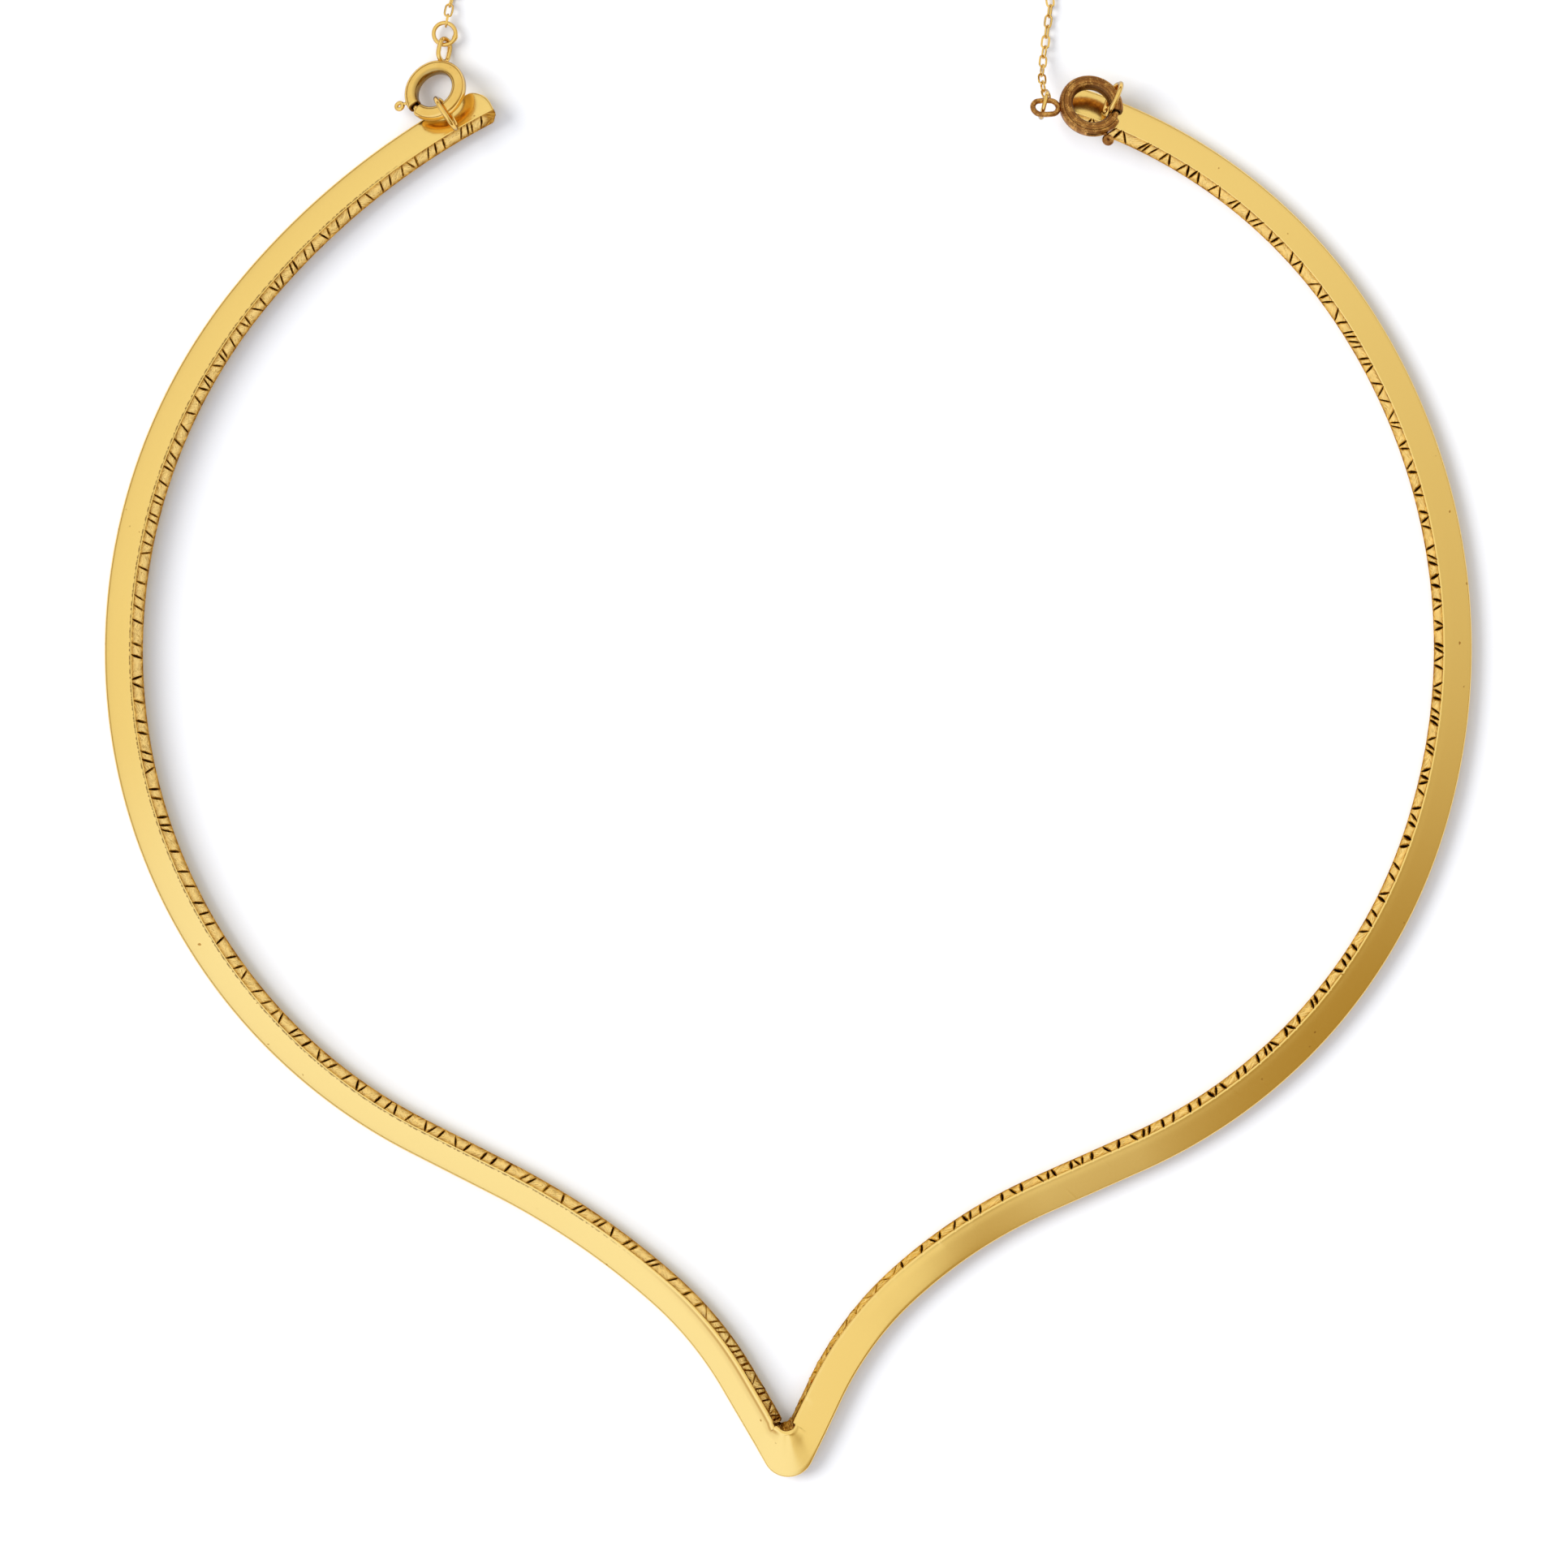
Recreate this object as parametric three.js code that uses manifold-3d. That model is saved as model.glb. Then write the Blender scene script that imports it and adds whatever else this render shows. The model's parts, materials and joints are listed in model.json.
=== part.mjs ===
// A rigid gold choker with a V front, lying on its back edge: the collar with its two standing loops,
// a bolt ring hooked on each loop, jump rings, and a fine cable chain that closes the neck at the back.
// Millimetres. The point of the V is at the low end of Y, the chain at the high end, and +Z is up.
import * as THREE from "three";
import { mergeVertices } from "three/addons/utils/BufferGeometryUtils.js";
import Module from "manifold-3d";

const wasm = await Module();
wasm.setup();

const { degToRad, lerp, smoothstep } = THREE.MathUtils;

// ---------------------------------------------------------------- driving sizes

const gold = { color: 0xe9c878, roughness: 0.32, metalness: 1 };
const polishedGold = { color: 0xe0b860, roughness: 0.16, metalness: 1 };
const bronze = { color: 0x8a6238, roughness: 0.42, metalness: 1 };

const collar = {
  thickness: 1.9, // of the rectangular wire, across its worked inner edge
  restFlat: 0.45, // width of the flat that the wire lies on
  rimRound: 0.2,
  tipFan: 5.8, // how far along the rim the sections fan round the point of the V
  innerCorner: { x: -0.2, y: 5.95, radius: 0.75 }, // the bend on the inner side of the V
  endRound: 1.7,
  endBevel: 0.45,
  step: 3.4, // between sections on the wide bends
  closeStep: 1.9, // on the limbs of the V
  tipStep: 0.85, // and round its point
  closeEnd: 28,
};

// The rim of each side, walked from the point of the V: arcs and straights. A negative radius turns outwards.
const rightRim = [
  { length: 2.7, radius: 2.4 },
  { length: 6.4, straight: true },
  { length: 11.5, radius: -29.5 },
  { length: 14.5, radius: -45.5 },
  { length: 9.5, straight: true },
  { length: 41.5, radius: 49.5 },
  { length: 51.5, radius: 57 },
  { length: 34.4, radius: 49 },
];
const leftRim = [
  { length: 2.5, radius: 2.4 },
  { length: 8.1, straight: true },
  { length: 10, radius: -31.5 },
  { length: 17.5, radius: -69 },
  { length: 8.5, straight: true },
  { length: 48.5, radius: 51 },
  { length: 44, radius: 53 },
  { length: 29.3, radius: 69.5 },
];

// How the wire turns on its way: its width in plan, and the roll of its wide face down towards the rim.
const rightWire = [
  { at: 0, width: 3.4, roll: 28 },
  { at: 6, width: 3.46, roll: 7 },
  { at: 12, width: 3.53, roll: 11 },
  { at: 19, width: 3.6, roll: 16 },
  { at: 30, width: 3.65, roll: 22 },
  { at: 60, width: 3.68, roll: 24 },
  { at: 110, width: 3.56, roll: 24.5 },
  { at: 174, width: 3.53, roll: 30 },
];
const leftWire = [
  { at: 0, width: 3.4, roll: 28 },
  { at: 8, width: 3.52, roll: 28 },
  { at: 26, width: 3.5, roll: 30 },
  { at: 50, width: 3.5, roll: 31 },
  { at: 95, width: 3.64, roll: 31 },
  { at: 145, width: 3.64, roll: 31 },
  { at: 170, width: 3.56, roll: 31 },
];

const neckMiddle = 70; // on Y, for telling which side of the wire faces the neck
const nick = { pitch: 4.2, mouth: 0.3, depth: 0.2, slant: 30, overrun: 0.16, clearOfTip: 8 };

// The loops that stand on the ridge near each end of the collar.
const standingLoop = { wire: 0.2, sides: 6, segments: 14 };
const leftLoop = { x: -31.09, y: 124.18, azimuth: 123.5, radius: 1.62, rise: 0.58 };
const rightLoop = { x: 29.56, y: 125.5, azimuth: 65, radius: 1.56, rise: 0.43 };

const boltRing = {
  radius: 2.34, // to the middle of the tube
  width: 1.22,
  height: 1.2,
  chamfer: 0.27,
  segments: 28,
  boreRadius: 0.4,
  boltRadius: 0.29,
  boreSides: 6,
  travel: 28, // degrees that the bolt draws back
  entry: 6, // how far the bolt reaches into the far side of the gap
  pocket: 4, // spare depth past the bolt's ends
  boltTail: 14,
  slotHeight: 0.46,
  slotSpare: 6,
  stem: 0.3,
};
const thumbLoop = { radius: 0.37, wire: 0.15, reach: 3.66, sides: 6, segments: 10 };

// Azimuths are seen from above, anticlockwise from +X. lowSide is where the tilted ring is lowest.
const leftClasp = {
  name: "left",
  metal: polishedGold,
  x: -32.11,
  y: 126.38,
  z: 2.2,
  lowSide: 135,
  tilt: 30,
  gapAt: 224,
  gap: 14,
  leverAt: 202,
  eye: { at: 79, reach: 4.07, width: 1.5, length: 2.15, wire: 0.22, roll: 77 },
};
const rightClasp = {
  name: "right",
  metal: bronze,
  x: 27.49,
  y: 124.8,
  z: 4.03,
  lowSide: 63,
  tilt: 23,
  gapAt: 338.5,
  gap: 19,
  leverAt: 295.5,
  eye: { at: 183, reach: 4.25, width: 1.5, length: 2.35, wire: 0.22, roll: 14 },
};

const leftJump = { x: -31.33, y: 131.7, z: 0.8, radius: 1, wire: 0.19, sides: 6, segments: 14 };
const rightJump = { ...leftJump, x: 23.26, y: 124.93, z: 3.92, radius: 1.17, azimuth: 76 };

const chain = {
  pitch: 0.96,
  wire: 0.18,
  width: 0.86,
  bite: 0.02, // how deep each link's end sits into the next one's, so that the whole is one body
  sides: 5,
  segments: 10,
  lean: -20,
  sway: 9,
  level: 0.49, // height of the chain's axis where it lies
  archMiddle: { x: -3.4, y: 134.8 },
  archHalfWidth: 27.3,
  archRise: 13.5,
};

// ---------------------------------------------------------------- solids and joins

function solid(geometry) {
  geometry.deleteAttribute("normal");
  geometry.deleteAttribute("uv");
  const merged = mergeVertices(geometry, 1e-4);
  const index = Array.from(merged.index.array);
  const kept = [];
  for (let i = 0; i < index.length; i += 3) {
    const [a, b, c] = index.slice(i, i + 3);
    if (a !== b && b !== c && c !== a) kept.push(a, b, c);
  }
  const vertProperties = merged.attributes.position.array;
  const make = (tris) =>
    new wasm.Manifold(new wasm.Mesh({ numProp: 3, vertProperties, triVerts: new Uint32Array(tris) }));
  const made = make(kept);
  return made.volume() < 0 ? make(kept.reverse()) : made;
}

const unite = (solids) => wasm.Manifold.union(solids);

function meshOf(name, body, look) {
  const { vertProperties, triVerts } = body.getMesh();
  const geometry = new THREE.BufferGeometry();
  geometry.setAttribute("position", new THREE.BufferAttribute(vertProperties, 3));
  geometry.setIndex(new THREE.BufferAttribute(triVerts, 1));
  geometry.computeVertexNormals();
  const mesh = new THREE.Mesh(geometry, new THREE.MeshStandardMaterial(look));
  mesh.name = name;
  return mesh;
}

// A ring or an oval link in the XY plane: a torus whose middle line is drawn out along X. A flat of the
// ring closes each end of the oval, and the negative tube radius turns an edge of the wire to the hole.
function link({ radius, wire, sides, segments }, stretch = 0) {
  const geometry = new THREE.TorusGeometry(radius, -wire, sides, segments);
  geometry.rotateZ(Math.PI / segments);
  const position = geometry.attributes.position;
  for (let i = 0; i < position.count; i++) {
    const x = position.getX(i);
    const cosine = x / Math.hypot(x, position.getY(i));
    position.setX(i, x + (stretch / 2) * cosine);
  }
  return geometry;
}

// A closed body through a row of sections that all have the same number of corners.
function loft(sections) {
  const count = sections[0].length;
  const corners = sections.flat().flatMap((p) => [p.x, p.y, p.z]);
  const faces = [];
  for (let i = 0; i + 1 < sections.length; i++) {
    for (let j = 0; j < count; j++) {
      const a = i * count + j;
      const b = i * count + ((j + 1) % count);
      faces.push(a, b, b + count, a, b + count, a + count);
    }
  }
  const last = (sections.length - 1) * count;
  for (let j = 1; j + 1 < count; j++) {
    faces.push(0, j + 1, j, last, last + j, last + j + 1);
  }
  const geometry = new THREE.BufferGeometry();
  geometry.setAttribute("position", new THREE.Float32BufferAttribute(corners, 3));
  geometry.setIndex(faces);
  return solid(geometry);
}

// ---------------------------------------------------------------- the collar

// The point and heading at a distance along a rim, for the side that lies towards +X.
function alongRim(rim, distance) {
  let x = 0;
  let y = 0;
  let heading = 0;
  let left = distance;
  for (const [k, row] of rim.entries()) {
    const run = k === rim.length - 1 ? left : Math.min(left, row.length);
    if (row.straight) {
      x += run * Math.cos(heading);
      y += run * Math.sin(heading);
    } else {
      const turned = heading + run / row.radius;
      x += row.radius * (Math.sin(turned) - Math.sin(heading));
      y -= row.radius * (Math.cos(turned) - Math.cos(heading));
      heading = turned;
    }
    left -= run;
    if (left <= 0) break;
  }
  return { x, y, heading };
}

const rimLength = (rim) => rim.reduce((sum, row) => sum + row.length, 0);

function wireAt(rows, distance) {
  const next = rows.findIndex((row) => row.at > distance);
  if (next < 0) return rows[rows.length - 1];
  const a = rows[next - 1];
  const b = rows[next];
  const t = smoothstep(distance, a.at, b.at);
  return { width: lerp(a.width, b.width, t), roll: lerp(a.roll, b.roll, t) };
}

// The rolled rectangle's corners. Across is measured inwards from the rim, and up from the surface.
function wireSection({ width, roll }, reach) {
  const angle = degToRad(roll);
  const edge = collar.thickness * Math.sin(angle);
  const cut = collar.restFlat * Math.sin(angle) * Math.cos(angle);
  const slope = Math.tan(angle);
  const rim = collar.thickness * Math.cos(angle) - cut;
  const ridge = { across: reach - edge, up: rim + (width - edge) * slope };
  const faceLength = Math.hypot(ridge.across, ridge.up - rim);
  const faceAcross = ridge.across / faceLength;
  const faceUp = (ridge.up - rim) / faceLength;
  const edgeAcross = edge / collar.thickness;
  const edgeUp = Math.cos(angle);
  const r = collar.rimRound;
  return {
    ridge,
    inner: { across: reach, up: (width - edge) * slope - cut },
    corners: [
      { across: r * edgeAcross, up: rim - r * edgeUp },
      { across: 0.3 * r * faceAcross, up: rim - 0.05 * r },
      { across: r * faceAcross, up: rim + r * faceUp },
      ridge,
      { across: reach, up: (width - edge) * slope - cut },
      { across: edge + cut / slope, up: 0 },
      { across: edge - cut * slope, up: 0 },
    ],
  };
}

// A section's place: its rim point, the way inwards, and how far the inner corner is.
function stationAt(side, distance) {
  const rim = alongRim(side.rim, distance);
  const shape = wireAt(side.wire, distance);
  const outer = new THREE.Vector2(rim.x, rim.y);
  const inward = new THREE.Vector2(-Math.sin(rim.heading), Math.cos(rim.heading));
  let reach = shape.width;
  if (distance < collar.tipFan) {
    const { x, y, radius } = collar.innerCorner;
    const turned = (alongRim(side.rim, collar.tipFan).heading * distance) / collar.tipFan;
    const inner = new THREE.Vector2(x * side.sign + radius * Math.sin(turned), y - radius * Math.cos(turned));
    inward.copy(inner).sub(outer);
    reach = inward.length();
    inward.normalize();
  }
  const place = ({ across, up }) =>
    new THREE.Vector3(side.sign * (outer.x + inward.x * across), outer.y + inward.y * across, up);
  return { place, heading: rim.heading, ...wireSection(shape, reach) };
}

const right = { sign: 1, rim: rightRim, wire: rightWire };
const left = { sign: -1, rim: leftRim, wire: leftWire };

function stationDistances(side) {
  const { tipFan, closeEnd, tipStep, closeStep, step } = collar;
  const distances = [];
  const end = rimLength(side.rim) + 0.4;
  for (let d = 0.75; d < end; d += d < tipFan ? tipStep : d < closeEnd ? closeStep : step) {
    distances.push(d);
  }
  distances.push(end);
  return distances;
}

function collarWire() {
  const cornersAt = (side) => (distance) => {
    const station = stationAt(side, distance);
    return station.corners.map(station.place);
  };
  const tip = cornersAt(right)(0);
  return loft([
    ...stationDistances(left).reverse().map(cornersAt(left)),
    tip,
    ...stationDistances(right).map(cornersAt(right)),
  ]);
}

// What is cut off the end of the wire: a quarter round at the rim and a small bevel at the inner corner.
function endCutter(side) {
  const end = alongRim(side.rim, rimLength(side.rim));
  const width = wireAt(side.wire, rimLength(side.rim)).width;
  const { endRound: r, endBevel: b } = collar;
  const shape = new THREE.Shape();
  shape.moveTo(-r, -1);
  shape.lineTo(-r, 0);
  shape.absarc(-r, r, r, -Math.PI / 2, 0, false);
  shape.lineTo(0, width - b);
  shape.lineTo(-b, width);
  shape.lineTo(-b, width + 1);
  shape.lineTo(2, width + 1);
  shape.lineTo(2, -1);
  const tall = 9;
  const geometry = new THREE.ExtrudeGeometry(shape, { depth: tall, bevelEnabled: false, curveSegments: 5 });
  geometry.translate(0, 0, -tall / 4);
  geometry.rotateZ(end.heading);
  geometry.translate(end.x, end.y, 0);
  geometry.scale(side.sign, 1, 1);
  return solid(geometry);
}

// Evenly scattered numbers from 0 to 1 that are the same on every run.
const scatter = (k, salt) => (k * 0.618034 + salt * 0.381966 + 0.37 * Math.sin(k * 2.3 + salt)) % 1;

// One V cut across the worked inner edge: a three-sided prism, one side lying in the air.
function nickCutter(side, distance, k) {
  const station = stationAt(side, distance);
  const ridge = station.place(station.ridge);
  const inner = station.place(station.inner);
  const ahead = new THREE.Vector3(side.sign * Math.cos(station.heading), Math.sin(station.heading), 0);
  const lean = Math.tan(degToRad(nick.slant)) * (2 * Math.abs(scatter(k, 1)) - 1);
  const across = ridge.clone().sub(inner).addScaledVector(ahead, lean * collar.thickness);
  const length = across.length() + 2 * nick.overrun;
  across.normalize();
  const into = across.clone().cross(ahead).normalize();
  if (into.y * (inner.y - neckMiddle) + into.x * inner.x < 0) into.negate();
  const sideways = across.clone().cross(into);
  const broad = 0.7 + 0.6 * Math.abs(scatter(k, 2));
  const prism = new THREE.CylinderGeometry(1, 1, length, 3);
  prism.scale((nick.mouth * broad) / 1.155, 1, nick.depth * broad);
  const middle = ridge.clone().add(inner).multiplyScalar(0.5);
  prism.applyMatrix4(new THREE.Matrix4().makeBasis(sideways, across, into).setPosition(middle));
  return solid(prism);
}

function nickCutters(side) {
  const cutters = [];
  const end = rimLength(side.rim) - 2 * collar.endRound;
  for (let k = 0, d = nick.clearOfTip; d < end; k++) {
    cutters.push(nickCutter(side, d, k + (side.sign > 0 ? 0 : 500)));
    d += nick.pitch * (0.75 + 0.5 * Math.abs(scatter(k, 3)));
  }
  return cutters;
}

// Height of the ridge where a standing loop is soldered to it.
function ridgeHeight(side) {
  const near = rimLength(side.rim) - 4;
  return stationAt(side, near).ridge.up;
}

function standingRing(place, side) {
  const ring = link({ ...standingLoop, radius: place.radius });
  ring.rotateX(Math.PI / 2);
  ring.rotateZ(degToRad(place.azimuth));
  ring.translate(place.x, place.y, ridgeHeight(side) + place.rise);
  return solid(ring);
}

function makeCollar() {
  const cutters = [endCutter(left), endCutter(right), ...nickCutters(left), ...nickCutters(right)];
  const wire = collarWire().subtract(unite(cutters));
  return meshOf("collar", unite([wire, standingRing(leftLoop, left), standingRing(rightLoop, right)]), gold);
}

// ---------------------------------------------------------------- bolt rings

// A ring turned about Z from a closed outline around the tube's middle.
function turnedRing(outline) {
  const points = outline.map(([dr, dz]) => new THREE.Vector2(boltRing.radius + dr, dz));
  const geometry = new THREE.LatheGeometry([...points, points[0].clone()], boltRing.segments);
  geometry.rotateX(Math.PI / 2);
  return solid(geometry);
}

function roundOutline(radius) {
  return Array.from({ length: boltRing.boreSides }, (_, k) => {
    const angle = (2 * Math.PI * (k + 0.5)) / boltRing.boreSides;
    return [radius * Math.cos(angle), radius * Math.sin(angle)];
  });
}

function tubeOutline() {
  const w = boltRing.width / 2;
  const h = boltRing.height / 2;
  const c = boltRing.chamfer;
  const corners = [[1, 1], [-1, 1], [-1, -1], [1, -1]];
  return corners.flatMap(([sx, sy], k) => {
    const pair = [[sx * w, sy * (h - c)], [sx * (w - c), sy * h]];
    return k % 2 ? pair.reverse() : pair;
  });
}

// The part of a disc between two angles in degrees, from an inner to an outer radius.
function sector(from, to, inner, outer, height) {
  const shape = new THREE.Shape();
  shape.absarc(0, 0, outer, degToRad(from), degToRad(to), false);
  shape.absarc(0, 0, inner, degToRad(to), degToRad(from), true);
  const geometry = new THREE.ExtrudeGeometry(shape, { depth: height, bevelEnabled: false, curveSegments: 6 });
  geometry.translate(0, 0, -height / 2);
  return solid(geometry);
}

// An azimuth seen from above, as the angle in the tilted ring's own plane.
function inPlane(clasp, azimuth) {
  const a = degToRad(azimuth - clasp.lowSide);
  return THREE.MathUtils.radToDeg(Math.atan2(Math.sin(a), Math.cos(a) / Math.cos(degToRad(clasp.tilt))));
}

function eyeSolid(clasp) {
  const { at, reach, width, length, wire, roll } = clasp.eye;
  const eye = link({ radius: width / 2, wire, sides: 6, segments: 12 }, length - width);
  eye.rotateX(degToRad(roll));
  eye.translate(reach, 0, 0);
  eye.rotateZ(degToRad(inPlane(clasp, at)));
  return solid(eye);
}

// Angles along the ring, all clockwise of the gap: the bolt draws back that way.
function boltSpan(clasp) {
  const gapAt = inPlane(clasp, clasp.gapAt);
  const lever = inPlane(clasp, clasp.leverAt);
  const head = gapAt + clasp.gap / 2 + boltRing.entry;
  const tail = lever - boltRing.boltTail;
  return { gapAt, lever, head, tail };
}

function clearAround(angleFrom, angleTo, body, outer = 6) {
  return body.intersect(sector(angleFrom, angleTo, 0.5, outer, 3));
}

function makeClaspRing(clasp) {
  const { gapAt, lever, head, tail } = boltSpan(clasp);
  const { travel, pocket, slotSpare, slotHeight, radius } = boltRing;
  const bore = turnedRing(roundOutline(boltRing.boreRadius));
  const tube = turnedRing(tubeOutline())
    .subtract(clearAround(tail - travel - pocket, head + pocket, bore))
    .subtract(sector(gapAt - clasp.gap / 2, gapAt + clasp.gap / 2, 0.5, 6, 3))
    .subtract(sector(lever - travel - slotSpare, lever + slotSpare, radius, 6, slotHeight));
  return meshOf(clasp.name + "_clasp_ring", unite([tube, eyeSolid(clasp)]), clasp.metal);
}

function makeClaspBolt(clasp) {
  const { lever, head, tail } = boltSpan(clasp);
  const bolt = clearAround(tail, head, turnedRing(roundOutline(boltRing.boltRadius)));
  const stemLength = thumbLoop.reach - thumbLoop.radius - boltRing.radius;
  const stem = new THREE.BoxGeometry(stemLength, boltRing.stem, boltRing.stem);
  stem.translate(boltRing.radius + stemLength / 2, 0, 0);
  const loop = link(thumbLoop);
  loop.translate(thumbLoop.reach, 0, 0);
  for (const piece of [stem, loop]) piece.rotateZ(degToRad(lever));
  return meshOf(clasp.name + "_clasp_bolt", unite([bolt, solid(stem), solid(loop)]), clasp.metal);
}

function makeClasp(clasp) {
  const place = new THREE.Group();
  place.position.set(clasp.x, clasp.y, clasp.z);
  place.rotation.z = degToRad(clasp.lowSide);
  const tilted = new THREE.Group();
  tilted.rotation.y = degToRad(clasp.tilt);
  tilted.add(makeClaspRing(clasp), makeClaspBolt(clasp));
  place.add(tilted);
  return place;
}

// ---------------------------------------------------------------- jump rings and chain

function makeLeftJump() {
  const mesh = meshOf("left_jump_ring", solid(link(leftJump)), polishedGold);
  mesh.position.set(leftJump.x, leftJump.y, leftJump.z);
  return mesh;
}

function makeRightJump() {
  const mesh = meshOf("right_jump_ring", solid(link(rightJump)), polishedGold);
  mesh.position.set(rightJump.x, rightJump.y, rightJump.z);
  mesh.rotation.order = "ZXY";
  mesh.rotation.z = degToRad(rightJump.azimuth - 90);
  mesh.rotation.y = Math.PI / 2;
  return mesh;
}

// The chain's axis: from the left jump ring, round the plain arch, and down the run to the right one.
function chainPath() {
  const { level, archMiddle, archHalfWidth, archRise } = chain;
  const points = [
    new THREE.Vector3(-31.12, 132.9, level + 0.31),
    new THREE.Vector3(-30.95, 133.85, level + 0.3),
  ];
  for (let angle = 180; angle >= 0; angle -= 20) {
    const x = archMiddle.x + archHalfWidth * Math.cos(degToRad(angle));
    const y = archMiddle.y + archRise * Math.sin(degToRad(angle));
    points.push(new THREE.Vector3(x, y, level));
  }
  points.push(
    new THREE.Vector3(23.7, 132.6, level),
    new THREE.Vector3(23.4, 130.3, level + 0.2),
    new THREE.Vector3(23.15, 128.2, level + 1),
    new THREE.Vector3(23.19, 126.72, level + 2.02),
    new THREE.Vector3(23.43, 125.96, level + 2.59),
  );
  return new THREE.CatmullRomCurve3(points);
}

function makeChain() {
  const path = chainPath();
  path.arcLengthDivisions = 2000;
  const gaps = 2 * Math.round((path.getLength() / chain.pitch - 1) / 2) + 1;
  const pitch = path.getLength() / gaps;
  const radius = (chain.width - chain.wire) / 2;
  const endFlat = Math.cos(Math.PI / chain.segments);
  const stretch = (pitch - chain.bite) / endFlat + chain.wire - 2 * radius;
  const ring = { radius, wire: chain.wire / 2, sides: chain.sides, segments: chain.segments };
  const up = new THREE.Vector3(0, 0, 1);
  const links = [];
  for (let k = 0; k <= gaps; k++) {
    const fromLeft = Math.min(1, k / 6);
    const fromEnds = Math.min(fromLeft, (gaps - k) / 6);
    const turn = (k % 2 ? 0 : 90) + fromLeft * chain.lean + fromEnds * chain.sway * Math.sin(1.7 * k);
    const tangent = path.getTangentAt(k / gaps);
    const side = up.clone().cross(tangent).normalize();
    const piece = link(ring, stretch);
    piece.rotateX(degToRad(turn));
    piece.applyMatrix4(new THREE.Matrix4().makeBasis(tangent, side, tangent.clone().cross(side)));
    const at = path.getPointAt(k / gaps);
    piece.translate(at.x, at.y, at.z);
    links.push(solid(piece));
  }
  return meshOf("safety_chain", unite(links), polishedGold);
}

// ---------------------------------------------------------------- the choker, standing on its origin

const choker = new THREE.Group();
choker.add(makeCollar(), makeClasp(leftClasp), makeClasp(rightClasp));
choker.add(makeLeftJump(), makeRightJump(), makeChain());
choker.updateMatrixWorld(true);
const box = new THREE.Box3().setFromObject(choker, true);
const middle = box.getCenter(new THREE.Vector3());
choker.position.set(-middle.x, -middle.y, -box.min.z);

export default choker;
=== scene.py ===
# A rigid gold choker with a V front, dressed for rendering. Sizes are in millimetres on the maker's
# drawing, measured from the point of the V, and become metres where a mesh is made.
import json
import math

import bmesh
import bpy
import numpy as np
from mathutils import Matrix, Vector


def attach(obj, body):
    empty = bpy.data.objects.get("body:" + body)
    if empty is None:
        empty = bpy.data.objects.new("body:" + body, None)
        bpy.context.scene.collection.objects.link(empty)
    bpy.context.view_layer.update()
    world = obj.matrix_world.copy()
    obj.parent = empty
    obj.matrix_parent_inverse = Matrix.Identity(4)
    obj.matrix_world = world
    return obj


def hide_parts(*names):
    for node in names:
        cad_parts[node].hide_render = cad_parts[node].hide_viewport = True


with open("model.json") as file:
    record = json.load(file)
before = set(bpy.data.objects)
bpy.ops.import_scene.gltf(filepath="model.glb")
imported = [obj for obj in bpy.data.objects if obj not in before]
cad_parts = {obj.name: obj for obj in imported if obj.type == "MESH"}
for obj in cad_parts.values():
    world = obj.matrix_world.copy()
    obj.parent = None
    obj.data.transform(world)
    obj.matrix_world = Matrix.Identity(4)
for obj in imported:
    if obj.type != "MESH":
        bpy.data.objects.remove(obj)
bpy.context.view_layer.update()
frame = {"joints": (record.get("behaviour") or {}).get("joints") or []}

mm = 0.001
joints = {row["name"]: row for row in frame["joints"]}

leftRingOnDrawing = (-32.11, 126.38)  # centre of the left bolt ring, which its joint gives in the frame
hinge = joints["left_bolt_draw"]["pos_m"]
vPoint = np.array([hinge[0] / mm - leftRingOnDrawing[0], hinge[1] / mm - leftRingOnDrawing[1], 0.0])


def smooth(t):
    t = np.clip(t, 0, 1)
    return t * t * (3 - 2 * t)


# Camera, room and floor.

studio = {
    "cameraHeight": 0.65,
    "viewWidth": 0.14322,      # of the floor, from one side of the view to the other
    "filmWidth": 36,
    "lookAt": (-0.37, 63.26),  # on the drawing
    "keyAzimuth": 168,         # degrees
    "keyElevation": 42,
    "keyAngle": 38,
    "keyPower": 2.7,
    "paper": 0.76,
    "paperRoughness": 0.9,
    "paperWidth": 3,
    "paperDrop": 0.00002,      # keeps the paper clear of the collar's rest
}
# The room, as the metal sees it: even and pale, cooler and brighter towards coolSide, with a low brown
# patch about darkSide and a dim band all round at the height of the table. The stops of a ramp are pairs
# of place and share. The first two take over the ramp's own ends.
room = {
    "pale": (0.985, 1.0, 1.0),
    "cool": (1.08, 1.19, 1.56),
    "brown": (0.43, 0.315, 0.11),
    "dim": (0.3, 0.2, 0.1),
    "coolSide": -118,
    "coolStops": [(0.76, 0), (0.95, 1)],  # by direction: 1 straight towards the side, 0 away from it
    "darkSide": -40,
    "darkStops": [
        (0.25, 0), (1, 0.97), (0.52, 0.1), (0.74, 0.28), (0.86, 0.43), (0.92, 0.55), (0.97, 0.8),
    ],
    "lowStops": [(0.64, 1), (0.83, 0)],   # by height: 0 level, 1 overhead
    "dimStops": [(0.1, 1), (0.36, 0)],
}


def makeCamera():
    data = bpy.data.cameras.new("camera")
    data.sensor_width = studio["filmWidth"]
    data.lens = studio["filmWidth"] * studio["cameraHeight"] / studio["viewWidth"]
    data.clip_start = 0.01
    camera = bpy.data.objects.new("camera", data)
    x, y = (np.array(studio["lookAt"]) + vPoint[:2]) * mm
    camera.location = (x, y, studio["cameraHeight"])
    bpy.context.scene.collection.objects.link(camera)
    bpy.context.scene.camera = camera


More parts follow.
